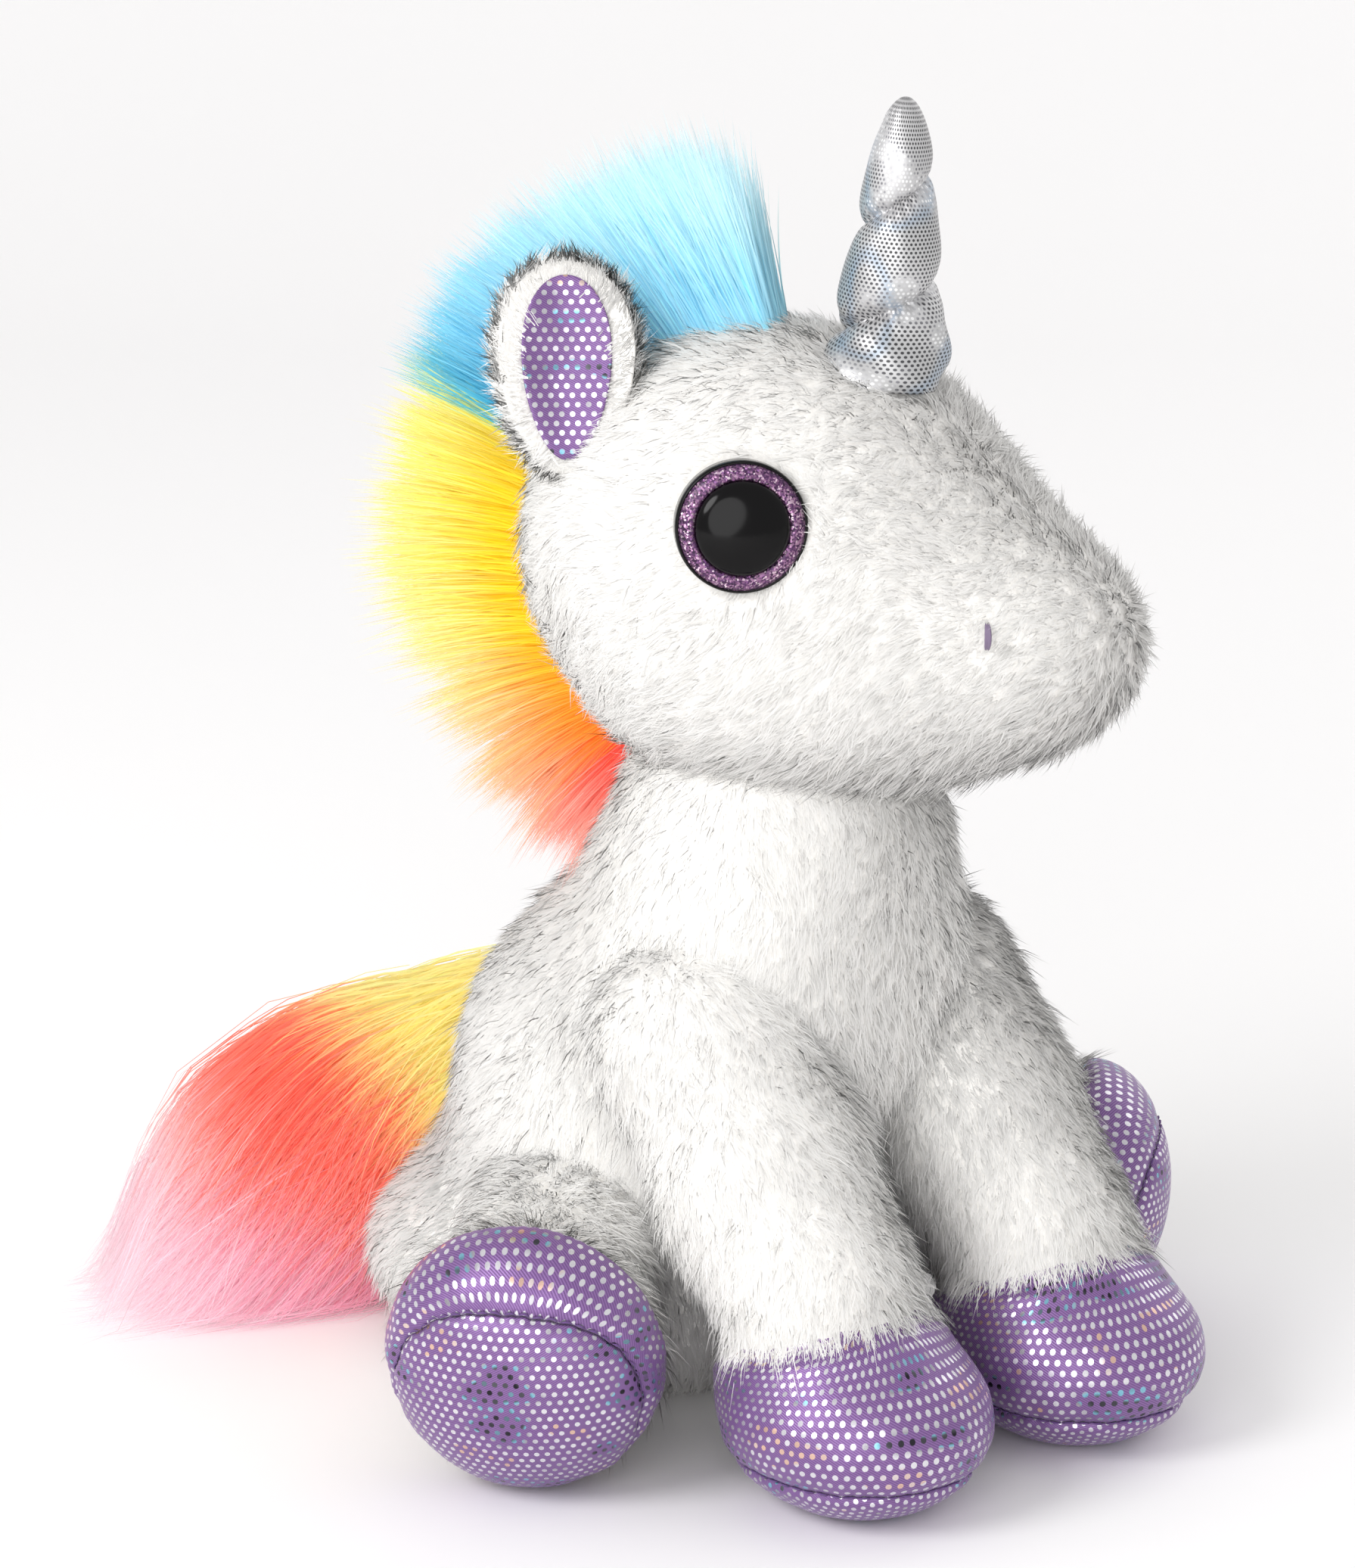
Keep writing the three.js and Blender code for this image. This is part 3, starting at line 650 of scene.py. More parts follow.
# How deep points lie in the whole white body with its creases filled, for how its pile catches the light.
def bodyDepth(p):
    total, soft = formDistance(p, torso), 34
    for name in legForms:
        near = formDistance(legPlaces[name].local(p), legForms[name])
        mix = np.maximum(soft - np.abs(total - near), 0) / soft
        total = np.minimum(total, near) - mix * mix * soft / 4
    return total


def bodyNormal(p):
    steps = np.eye(3) * 0.1
    return unit(np.stack([bodyDepth(p + s) - bodyDepth(p - s) for s in steps], -1))


# The cloth bridges the shoulders' creases and is drawn in a little along the lower seams.
def creased(points, normals):
    near = np.exp(-((legDepth(points) / 7) ** 2))
    return points + normals * (near * (3.2 * smooth(points[:, 2], 62, 88) - 0.6))[:, None]

torsoSkin = skinOf(torso, 110, 90, skinInset, creased)
torsoCloth = makeMesh("torso cloth", *torsoSkin[:2], knit)
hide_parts("torso_cover", "torso_filling", "bean_bag")
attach(torsoCloth, "torso")


# Down the body and a little outwards, swirling slowly.
def bodyFlow(p):
    out = p - np.array([0, -20.0, 0])
    out[:, 2] = 0
    turn = waves(p, 46, 3)[:, None]
    return np.array([0, 0.15, -1.0]) + unit(out) * 0.25 + np.cross(unit(out), [0, 0, 1]) * 0.35 * turn


def torsoKeep(part):
    def keep(p):
        shown = (legDepth(p) > -5) & (headDepth(p) > -4) & (p[:, 2] > 1.2)
        return shown & part(p)

    return keep

torsoParts = {
    "torso pile chest": lambda p: (p[:, 1] < -38) & (p[:, 2] < 122),
    "torso pile flanks": lambda p: (p[:, 1] >= -38) & (p[:, 1] < 6) & (p[:, 2] < 122),
    "torso pile rump": lambda p: (p[:, 1] >= 6) & (p[:, 2] < 122),
}
for name, part in torsoParts.items():
    pile = growPile(name, torsoSkin, here, bodyFlow, torsoKeep(part), "torso")
    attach(pile, "torso")

# the neck: a ring of the same skin and pile between torso and head
ringHigh = np.linspace(118, 156, 20)
ringRound = np.linspace(0, 2 * math.pi, 90, endpoint=False)
high, around = np.meshgrid(ringHigh[::-1], ringRound, indexing="ij")
ringWays = np.stack([np.cos(around), np.sin(around), np.zeros_like(high)], -1)
ringStart = np.stack([np.zeros_like(high), np.full_like(high, -46.0), high], -1)
ringPoints = skinPoints(torso, ringWays, skinInset - 0.5, ringStart)
ringPoints[..., 2] = high
ringEnds = np.array([[0, -46.0, 156], [0, -46.0, 118]])
neckPoints = np.vstack([ringPoints.reshape(-1, 3), ringEnds])
neckSkin = (neckPoints, ringFaces(90, 20), formNormal(neckPoints, torso))
neckCloth = makeMesh("neck cloth", *neckSkin[:2], knit)
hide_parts("neck_cover", "neck_filling")
neckPile = growPile(
    "neck pile",
    neckSkin,
    here,
    bodyFlow,
    lambda p: (p[:, 2] > 121) & (p[:, 2] < 150) & (headDepth(p) > -5) & (legDepth(p) > -3.5),
    "neck",
    share=1.15,
)
for piece in (neckCloth, neckPile):
    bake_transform(piece)
print("torso and neck done")

# cuffs as level and slope down the leg; seams as level, and how far the rear one tilts to the sole's face
hoof = {"frontCuff": (-52, 0.3), "rearCuff": (-55, 0), "sides": 120}
hoof.update(frontSeam=-79.0, rearSeam=-67.5, rearTilt=7.5)


# Positive on the hoof's side of the edge of the plush, in the leg's own frame.
def hoofDepth(name, p):
    level, slope = hoof["frontCuff"] if name.startswith("front") else hoof["rearCuff"]
    return -(p[:, 2] - level + slope * (p[:, 1] + 53)) / math.hypot(1, slope)


# The sole's seam: level on a front hoof, nearer the sole's face at the top of a rear one.
def seamLevel(name, turn):
    if name.startswith("front"):
        return np.full(turn.shape, hoof["frontSeam"])
    return hoof["rearSeam"] + hoof["rearTilt"] * np.sin(turn)


# A hoof's wall: for each turn about the leg and each level, the distance out to the leg's form, drawn in at
# the seam and puckered beside it.
def hoofWall(name, levels):
    f = legForms[name]
    sides = hoof["sides"]
    axis = f["middles"][-1]
    turn = np.linspace(0, 2 * math.pi, sides, endpoint=False)
    seam = seamLevel(name, turn)
    ways = np.stack([np.cos(turn), np.sin(turn), np.zeros(sides)], -1)
    high = levels(axis + ways * 24)
    rows = high.shape[0]
    starts = np.broadcast_to(axis, (rows, sides, 3)).copy()
    starts[..., 2] = high
    wide = {**f, "floor": None}
    p = skinPoints(wide, np.broadcast_to(ways, (rows, sides, 3)), 0.0, starts)
    p[..., 2] = high
    out = np.linalg.norm((p - starts), axis=-1)
    away = np.abs(high - seam)
    pucker = 0.5 + 0.5 * np.sin(turn * 23 + 2.2 * np.sin(turn * 5)) * np.sin(turn * 9 + 1)
    drawn = 1.3 * np.exp(-((away / 1.3) ** 2)) + 0.75 * pucker * np.exp(-away / 3.2)
    drawn += 0.35 * waves(p, 15, 5) * np.exp(-away / 14)
    edge = hoofDepth(name, p.reshape(-1, 3)).reshape(rows, sides)
    drawn += 3.4 * (1 - smooth(edge, -1.5, 3.5))
    p[..., :2] = starts[..., :2] + ways[:, :2] * (out - drawn)[..., None]
    return p, turn, axis


def capped(p, top, low):
    rows, sides = p.shape[:2]
    points = np.vstack([p.reshape(-1, 3), [top], [low]])
    return points, ringFaces(sides, rows)


def makeHoof(name):
    front = name.startswith("front")
    place = legPlaces[name]
    f = legForms[name]
    seam = seamLevel(name, np.linspace(0, 2 * math.pi, hoof["sides"], endpoint=False))
    level, slope = hoof["frontCuff"] if front else hoof["rearCuff"]
    bottom = -89.5 if front else f["middles"][-1][2] - 20.9

    def upperLevels(rim):
        top = level + 1.5 - slope * (rim[:, 1] + 53)
        share = np.linspace(0, 1, 40)[:, None] ** 1.25
        return top + (seam + 0.15 - top) * share

    def soleLevels(rim):
        share = np.sin(np.linspace(0, math.pi / 2, 30))[:, None]
        return seam - 0.15 + (bottom - seam + 0.15) * share

    made = []
    for word, levels in (("upper", upperLevels), ("sole", soleLevels)):
        p, turn, axis = hoofWall(name, levels)
        top = np.array([axis[0], axis[1], p[0, :, 2].min() - 1])
        low = np.array([axis[0], axis[1], p[-1, :, 2].mean()])
        points, faces = capped(p, top, low)
        if word == "upper":
            run = np.concatenate([[0], np.cumsum(np.linalg.norm(np.diff(p, axis=0), axis=-1).mean(1))])
            uv = np.stack(np.meshgrid(turn * 27, -run), -1).reshape(-1, 2)
            uv = np.vstack([uv, [[0, 0]], [[0, -run[-1]]]])
        else:
            inward = np.vstack([p, np.broadcast_to(low, (1, len(turn), 3))])
            steps = np.linalg.norm(np.diff(inward, axis=0), axis=-1)
            out = np.cumsum(steps[::-1], 0)[::-1][..., None]
            uv = (out * np.stack([np.cos(turn), np.sin(turn)], -1)).reshape(-1, 2)
            uv = np.vstack([uv, [[0, 0]], [[0, 0]]])
        shell = makeMesh(f"{name} hoof {word} cloth", place.points(points), faces, lilacCloth, uv=uv)
        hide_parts(f"{name}_hoof_{word}")
        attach(shell, name)
        made.append(p[-1] if word == "upper" else p[0])
    # the seam: short stitches that follow the drawn-in line
    line = place.points((made[0] + made[1]) / 2)
    line = np.vstack([line, line[:1]])
    lengths = np.concatenate([[0], np.cumsum(np.linalg.norm(np.diff(line, axis=0), axis=1))])
    count = int(lengths[-1] / 3.1)
    starts = np.arange(count) * lengths[-1] / count
    t = starts[:, None] + np.linspace(0, 2.3, 5)
    path = np.stack([np.interp(t % lengths[-1], lengths, line[:, k]) for k in range(3)], -1)
    centre = line.mean(0)
    out = unit(path - centre)
    path = path + out * (0.15 + 0.35 * np.sin(np.linspace(0, math.pi, 5)))[None, :, None]
    thread = makeTubes(f"{name} hoof seam thread", path, 0.26, purpleThread, out)
    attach(thread, name)


# Short tubes along paths (count, levels, 3): a ring of six points about each level, with pointed ends.
def makeTubes(name, paths, radius, material, up):
    count, levels = paths.shape[:2]
    run = unit(np.gradient(paths, axis=1))
    side = unit(np.cross(run, up))
    rise = np.cross(side, run)
    turn = np.linspace(0, 2 * math.pi, 6, endpoint=False)[None, None, :, None]
    swell = (0.35 + 0.65 * np.sin(np.linspace(0, math.pi, levels)) ** 0.5)[None, :, None, None]
    ring = side[:, :, None] * np.cos(turn) + rise[:, :, None] * np.sin(turn)
    body = (paths[:, :, None] + ring * radius * swell).reshape(count, -1, 3)
    ends = np.stack([paths[:, 0] - run[:, 0] * radius, paths[:, -1] + run[:, -1] * radius], 1)
    points = np.concatenate([body, ends], 1)
    faces = ringFaces(6, levels)
    allFaces = (np.arange(count)[:, None, None] * points.shape[1] + faces).reshape(-1, 3)
    return makeMesh(name, points.reshape(-1, 3), allFaces, material)


def frontFlow(p):
    return np.array([0, -0.45, -1.0]) + waves(p, 30, 8)[:, None] * np.array([0.35, 0.1, 0])


# Parting along the top of the leg and falling down both its sides, a little towards the hoof.
def rearFlow(p, down):
    return down + np.array([0, 0, -0.3]) + waves(p, 30, 9)[:, None] * np.array([0.3, 0.3, 0])

for name, place in legPlaces.items():
    f = legForms[name]
    front = name.startswith("front")
    skin = skinOf(f, 80, 60, skinInset)
    # below the hoof's edge the cloth runs on inside the hoof
    cloth = skin[0] - skin[2] * (3.2 * smooth(hoofDepth(name, skin[0]), -1.5, 2.5))[:, None]
    shell = makeMesh(name.replace("_", " ") + " cloth", place.points(cloth), skin[1], knit)
    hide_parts(name + "_cover", name + "_filling")

    def keepLeg(p, name=name, place=place):
        away = place.points(p)
        others = np.min(
            [formDistance(legPlaces[n].local(away), legForms[n]) for n in legForms if n != name], axis=0
        )
        depth = formDistance(away, torso)
        return (hoofDepth(name, p) < 0.3) & (others > -3.5) & (depth > -5.5) & (away[:, 2] > 1.2)

    def legFlow(p, down=place.turn.T @ np.array([0, 0, -1.0])):
        return rearFlow(p, down)

    pile = growPile(
        name.replace("_", " ") + " pile",
        skin,
        place,
        frontFlow if front else legFlow,
        keepLeg,
        name,
        {"longer": lambda p, name=name: 1 + 0.4 * smooth(hoofDepth(name, p), -10, 0)},
        share=1.1,
    )
    toward = place.ways(unit(f["middles"][-1][None]))[0] * 0.001
    for piece in (shell, pile):
        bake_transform(piece)
    makeHoof(name)
print("legs done")

eyeAt = {side: np.array([side * 45.85, -10.31, 74.38]) for side in (-1, 1)}
eyeLook = {side: unit(np.array([side * 0.866, -0.5, 0.08])) for side in (-1, 1)}
nostrilAt = {side: np.array([side * 27.6, -57.2, 52.0]) for side in (-1, 1)}
hornAt = np.array([0, -23.56, 105.78])


# Distance from the nearer eye's axis, across it.
def eyeAway(p):
    best = np.full(len(p), 1e3)
    for side in (-1, 1):
        d = p - eyeAt[side]
        deep = dot(d, eyeLook[side])
        across = np.linalg.norm(d - deep[:, None] * eyeLook[side], axis=1)
        best = np.minimum(best, np.where(np.abs(deep) < 16, across, 1e3))
    return best


# The eyes pull the cloth in around them, the nostril stitch makes a dimple, the horn's seam draws in
# its ring.
def headShape(points, normals):
    pull = 2.6 * np.exp(-((np.maximum(eyeAway(points) - 11, 0) / 5) ** 2))
    for side in (-1, 1):
        away = np.linalg.norm((points - nostrilAt[side]) * [1, 1, 0.7], axis=1)
        pull += 1.6 * np.exp(-((away / 4.5) ** 2))
    away = np.linalg.norm(points - hornAt, axis=1)
    pull += 1.8 * np.exp(-(((away - 12.5) / 3.5) ** 2))
    return points - normals * pull[:, None]

headSkin = skinOf(head, 120, 96, skinInset, headShape)
headCloth = makeMesh("head cloth", headPlace.points(headSkin[0]), headSkin[1], knit)
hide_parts("head_cover", "head_filling", "eye_right_washer", "eye_left_washer")
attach(headCloth, "head")


# Back from the nose and down the cheeks, parting round the eyes.
def headFlow(p):
    way = np.array([0, 0.75, -0.45]) + np.zeros_like(p)
    way[:, 2] -= 0.5 * smooth(40 - p[:, 2], 0, 30)
    way[:, 0] += np.sign(p[:, 0]) * 0.35
    way += waves(p, 34, 4)[:, None] * np.array([0.25, 0.2, 0.3])
    for side in (-1, 1):
        d = p - eyeAt[side]
        near = np.exp(-((np.linalg.norm(d, axis=1) - 14) / 7).clip(0, 9) ** 2)
        way += unit(d) * near[:, None] * 0.9
    return way


def headLonger(p):
    eye = smooth(eyeAway(p), 13, 21)
    nose = np.min([np.linalg.norm((p - nostrilAt[s]) * [1, 1, 0.6], axis=1) for s in (-1, 1)], axis=0)
    under = 1 + 0.25 * smooth(30 - p[:, 2], 0, 25)
    return (0.55 + 0.45 * eye) * (0.5 + 0.5 * smooth(nose, 1.5, 7)) * under


def headKeep(part):
    def keep(p):
        horn = np.linalg.norm((p - hornAt)[:, :2], axis=1)
        above = p[:, 2] > 90
        nose = np.min([np.linalg.norm((p - nostrilAt[s]) * [1, 1, 0.45], axis=1) for s in (-1, 1)], axis=0)
        free = (eyeAway(p) > 13.6) & ~(above & (horn < 11.5)) & (nose > 1.1)
        return free & (formDistance(headPlace.points(p), torso) > -5) & part(p)

    return keep

headParts = {
    "head pile face": lambda p: p[:, 1] < -30,
    "head pile cheeks": lambda p: (p[:, 1] >= -30) & (p[:, 1] < 6),
    "head pile nape": lambda p: p[:, 1] >= 6,
}
for name, part in headParts.items():
    size = {"longer": headLonger, "long": 5.6}
    pile = growPile(name, headSkin, headPlace, headFlow, headKeep(part), "head", size)
    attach(pile, "head")
print("head done")


# A turned piece: a profile of radius and height carried round the piece's own upward axis.
def lathe(name, profile, place, material, sides=96):
    profile = np.array(profile, float)
    turn = np.linspace(0, 2 * math.pi, sides, endpoint=False)
    rows = profile[1:-1]
    ring = np.stack([np.cos(turn), np.sin(turn), np.zeros(sides)], -1)
    p = rows[:, None, :1] * ring[None] + np.array([0, 0, 1.0]) * rows[:, None, 1:]
    points = np.vstack([p.reshape(-1, 3), [[0, 0, profile[0, 1]]], [[0, 0, profile[-1, 1]]]])
    return makeMesh(name, place.points(points), ringFaces(sides, len(rows)), material)


# Radius and height from the top of a dome down to its edge.
def arcPoints(radius, low, high, count=14):
    t = np.linspace(0, 1, count)
    return np.stack([radius * np.sin(t * math.pi / 2), low + (high - low) * np.cos(t * math.pi / 2)], -1)

for word, side in (("right", -1), ("left", 1)):
    look = eyeLook[side]
    across = unit(np.cross([0, 0, 1.0], look))
    own = Place(eyeAt[side] + look * 0.2, np.stack([across, np.cross(look, across), look], 1))
    own = own.inside(headPlace)
    # profiles as radius and height above the eye's seat
    pupil = np.vstack([arcPoints(10.0, 1.5, 4.9, 22), [[10.05, 1.0]], [[9.6, 0.2]], [[0, 0.2]]])
    ring = [[0, 0.6], [10.0, 0.6], [10.2, 1.75], [11.4, 1.5]]
    ring += [[12.6, 0.8], [13.3, 0.1], [13.2, -1], [0, -1]]
    cup = [[0, -0.3], [13.2, -0.3], [13.45, 0.05], [13.75, -0.1], [14.0, -0.8], [14.0, -4.6]]
    cup += [[13.4, -5.6], [3, -5.8], [2.5, -6.4], [2.5, -19], [2.1, -19.8], [0, -19.8]]
    parts = [("pupil", pupil, blackAcrylic), ("glitter", ring, glitter), ("cup", cup, blackAcrylic)]
    for part, profile, material in parts:
        made = lathe(f"eye {word} {part} moulding", profile, own, material)
        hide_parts(f"eye_{word}_{part}")
        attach(made, "head")
    # the nostril: one satin stitch of thread, a little bowed
    t = np.linspace(-1, 1, 9)
    bow = nostrilAt[side] + np.array([side * 1.4, -1.9, 0])
    strands = []
    for shift in (-0.42, 0.0, 0.42):
        line = np.stack([np.full(9, bow[0]), bow[1] + shift * 0.9 + 0.5 * t * t, bow[2] + 2.7 * t], -1)
        line[:, 0] -= side * 0.7 * t * t
        strands.append(line)
    paths = headPlace.points(np.array(strands))
    outward = headPlace.ways(np.array([side * 1.0, -0.4, 0]))
    stitch = makeTubes(f"nostril {word} thread", paths, 0.42, stitchThread, outward)
    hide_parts(f"nostril_{word}_stitch")
    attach(stitch, "head")
print("eyes done")

hornSize = {"base": 13.2, "fall": 0.152, "high": 54.0, "sunk": 7.0}
hornSize.update(pitch=22.5, phase=0.14, pinch=0.4)


# Tapering, with a deep crease that winds up it and cloth puckered along the crease.
def hornRadius(turn, z):
    top = np.clip((z - 38) / (hornSize["high"] - 38), 0, 1)
    wide = (hornSize["base"] - hornSize["fall"] * z) * np.sqrt(np.maximum(1 - top**2.6, 0))
    wind = (z / hornSize["pitch"] - turn / (2 * math.pi) + hornSize["phase"] + 10) % 1
    crease = np.abs(wind * 2 - 1)
    waist = 1 - hornSize["pinch"] * (0.6 * crease**3.2 + 0.4 * crease**12) * (1 - smooth(z, 40, 52))
    pucker = 0.035 * crease**6 * np.sin(turn * 19 + z * 0.9) + 0.012 * np.sin(turn * 5 + z * 0.35)
    fold = 0.05 * np.sin(turn * 4 + z * 0.4) * (1 - smooth(z, 3, 12))
    return wide * (waist + pucker + fold)

hornPlace = Place(hornAt, turnX(4)).inside(headPlace)
down = 1 - np.cos(np.linspace(0, 1, 150)[1:] * math.pi / 2)
levels = hornSize["high"] - (hornSize["high"] + hornSize["sunk"]) * down
turn = np.linspace(0, 2 * math.pi, 120, endpoint=False)
z, around = np.meshgrid(levels, turn, indexing="ij")
radius = hornRadius(around, z)
body = np.stack([radius * np.cos(around), radius * np.sin(around), z], -1)
hornPoints = np.vstack([body.reshape(-1, 3), [[0, 0, hornSize["high"]]], [[0, 0, levels[-1]]]])
hornUv = np.vstack([np.stack([around * 9, z], -1).reshape(-1, 2), [[0, 54]], [[0, -8]]])
hornFaces = ringFaces(120, len(levels))
horn = makeMesh("horn cloth", hornPlace.points(hornPoints), hornFaces, silverCloth, uv=hornUv)
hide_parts("horn_cover", "horn_filling")
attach(horn, "horn")
print("horn done")

earSize = {"wide": 29.0, "high": 46.0, "thick": 7.0, "curl": 7.5, "lining": 0.66}


# A flattened ball narrowed at its foot, with its edges curled forward into a cup.
def earLeaf(ways, scale, thick, lift):
    x = ways[:, 0] * earSize["wide"] / 2 * scale * (1 + 0.16 * ways[:, 2])
    z = ways[:, 2] * earSize["high"] / 2 * (scale if scale == 1 else 0.86)
    y = ways[:, 1] * thick / 2 - earSize["curl"] * (x / (earSize["wide"] / 2)) ** 2 + lift
    return np.stack([x, y, z], -1)

for word, side in (("right", -1), ("left", 1)):
    way = unit(np.array([side * 0.5, 1, 0.95]))
    hinge = skinPoints(head, way[None])[0]
    earPlace = Place(hinge + way * 9, turnZ(side * 62) @ turnX(-12)).inside(headPlace)
    ways = ballWays(70, 50)
    leaf = earLeaf(ways, 1.0, earSize["thick"], 0.0)
    faces = ringFaces(70, 49)
    back = makeMesh(f"ear {word} cloth", earPlace.points(leaf), faces, knit)
    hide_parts(f"ear_{word}_back")
    lining = earLeaf(ways, earSize["lining"], 3.0, -earSize["thick"] / 2 + 0.2)
    lining[:, 1] -= 0.3 * waves(lining, 11, 6)
    uv = np.stack([lining[:, 0], lining[:, 2]], -1)
    inner = makeMesh(f"ear {word} foil cloth", earPlace.points(lining), faces, lilacCloth, uv=uv)
    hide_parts(f"ear_{word}_lining")
    normals = unit(np.stack([leaf[:, 0] / 14, ways[:, 1] * 1.6, leaf[:, 2] / 24], -1))

    def earKeep(p):
        across = p[:, 0] / (earSize["wide"] / 2 * earSize["lining"])
        along = p[:, 2] / (earSize["high"] / 2 * 0.86)
        middle = across**2 + along**2
        front = p[:, 1] + earSize["curl"] * (p[:, 0] / (earSize["wide"] / 2)) ** 2 < 0.5
        outside = formDistance(headPlace.local(earPlace.points(p)), head) > -4
        return ~(front & (middle < 0.9)) & outside

    pile = growPile(
        f"ear {word} pile",
        (leaf, faces, normals),
        earPlace,
        lambda p: unit(p * [1.0, 0, 0.62]) + [0, 0, 0.35],
        earKeep,
        f"ear_{word}",
        {"long": 5.6, "up": 0.42, "lay": 0.85},
        share=2.2,
    )
    for piece in (back, inner, pile):
        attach(piece, f"ear_{word}")
print("ears done")


def hairs(name, paths, widths, facing, dye, lie):
    levels = paths.shape[1]
    layers = {"dye": perBlade(dye), "lie": perBlade(np.repeat(lie[:, None], levels, 1))}
    points = bladePoints(paths, widths, facing)
    points[:, 2] = np.maximum(points[:, 2], 0.6)
    print(name, len(paths), "hairs")
    return makeMesh(name, points, bladeFaces(len(paths), levels), dyedPile, layers)


# Colour along stops of (place, hex), in linear light.
def gradient(x, stops):
    at = [s[0] for s in stops]
    table = np.array([linear(s[1]) for s in stops])
    return np.stack([np.interp(x, at, table[:, k]) for k in range(3)], -1)


# The mane's colours by the turn of the root round the head, in degrees back from straight up.
maneRoots = [(10, "bdebf8"), (38, "aee5f6"), (54, "6fcdea"), (67, "3fbcdc"), (69, "f4e13a"), (84, "ffe42a")]
maneRoots += [(104, "ffdc22"), (113, "ffc22c"), (124, "ffa43a"), (127, "ff7260"), (160, "ff6a5c")]
maneTips = [(10, "e4f7fc"), (40, "d6f3fb"), (58, "a8e2f2"), (67, "7fd0e6"), (69, "fff6a8"), (104, "fff6cc")]
maneTips += [(114, "ffeac4"), (127, "ffcdbf"), (160, "ffc2b6")]
maneSize = {"from": 14.0, "to": 154.0, "half": 6.5, "levels": 8, "wide": 0.36}


def growMane(name, count, low, high):
    turn = rng.uniform(low, high, count)
    across = rng.normal(size=count) * 0.5
    across = np.clip(across, -1, 1) * maneSize["half"]
    angle = np.radians(turn)
    ways = unit(np.stack([across / 62, np.sin(angle), np.cos(angle)], -1))
    root = skinPoints(head, ways, skinInset + 0.5)
    lock = np.round(turn / 2.6 + rng.normal(size=count) * 0.3)
    sway = np.sin(lock * 12.9898) * 0.5 + np.sin(lock * 4.1) * 0.5
    nape = 11 * smooth(turn, 100, 140)
    lean = np.radians(6 + 0.86 * turn + nape + sway * 6.5 + rng.normal(size=count) * 3)
    tip = 6 + 0.93 * turn + 7 * smooth(turn, 60, 110) + 1.4 * nape + sway * 9 + rng.normal(size=count) * 5
    tip = np.radians(tip)
    long = np.interp(turn, [12, 22, 45, 75, 105, 125, 150], [36, 41, 40, 38, 41, 37, 33])
    long *= (1 + 0.08 * sway + 0.1 * rng.normal(size=count)).clip(0.55, 1.25)
    splay = across / maneSize["half"] * 0.26 + rng.normal(size=count) * 0.07
    levels = maneSize["levels"]
    t = np.linspace(0, 1, levels)
    bent = lean[:, None] + (tip - lean)[:, None] * t
    straight = np.cos(splay)[:, None]
    sideways = np.sin(splay)[:, None] * (0.5 + 0.6 * t)
    steps = np.stack([sideways, np.sin(bent) * straight, np.cos(bent) * straight], -1)
    steps = steps * (long / (levels - 1))[:, None, None]
    paths = root[:, None] + np.concatenate([np.zeros((count, 1, 3)), np.cumsum(steps[:, 1:], 1)], 1)
    dyeTurn = turn + rng.normal(size=count) * 0.9
    roots, tips = gradient(dyeTurn, maneRoots), gradient(dyeTurn, maneTips)
    pale = (smooth(t, 0.2, 0.85)[None, :] * rng.uniform(0.45, 1.0, count)[:, None])[..., None]
    dye = roots[:, None] * (1 - pale) + tips[:, None] * pale
    dye *= (1 + 0.1 * rng.normal(size=(count, 1, 1))).clip(0.75, 1.2)
    facing = [np.sign(across + 1e-6), rng.normal(size=count) * 0.5, rng.normal(size=count) * 0.5]
    facing = np.stack(facing, -1)
    outward = np.sign(across) * (0.4 + np.abs(across) / 6)
    lie = unit(np.stack([outward, 0.3 * np.sin(angle), 0.3 * np.cos(angle)], -1))
    widths = maneSize["wide"] * rng.uniform(0.5, 1.3, count)
    paths, facing, lie = headPlace.points(paths), headPlace.ways(facing), headPlace.ways(lie)
    made = hairs(name, paths, widths, facing, np.clip(dye, 0, 1), lie)
    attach(made, "head")
    return made

maneCool = growMane("mane pile upper", 12500, maneSize["from"], 70)
growMane("mane pile lower", 12500, 66, maneSize["to"])
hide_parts("mane_pile", "mane_backing")
print("mane done")

# The tail: hairs start on a soft core that hangs from the rump, and sweep down and along to the floor.
tailPlace = Place((0, 40.4, 65.2), turnZ(62))
tailSize = {"hairs": 27000, "levels": 8, "wide": 0.38}


# Airbrushed patches by where a point lies: yellow above the root, coral in the middle, pink low and far
# out.
def tailDye(p, noise):
    y, z = p[..., 1], p[..., 2]
    coral = smooth(y + 0.68 * (8 - z) + noise, 42, 66)
    pink = smooth(0.45 * y - z + noise, 54, 82)
    far = smooth(y - 0.3 * z + noise, 74, 108)
    a, b, c, d = (linear(x) for x in ("fff0a4", "ff8a76", "fbb6cc", "fde6ec"))
    out = a * (1 - coral[..., None]) + b * coral[..., None]
    out = out * (1 - pink[..., None]) + c * pink[..., None]
    return out * (1 - far[..., None] * 0.7) + d * far[..., None] * 0.7


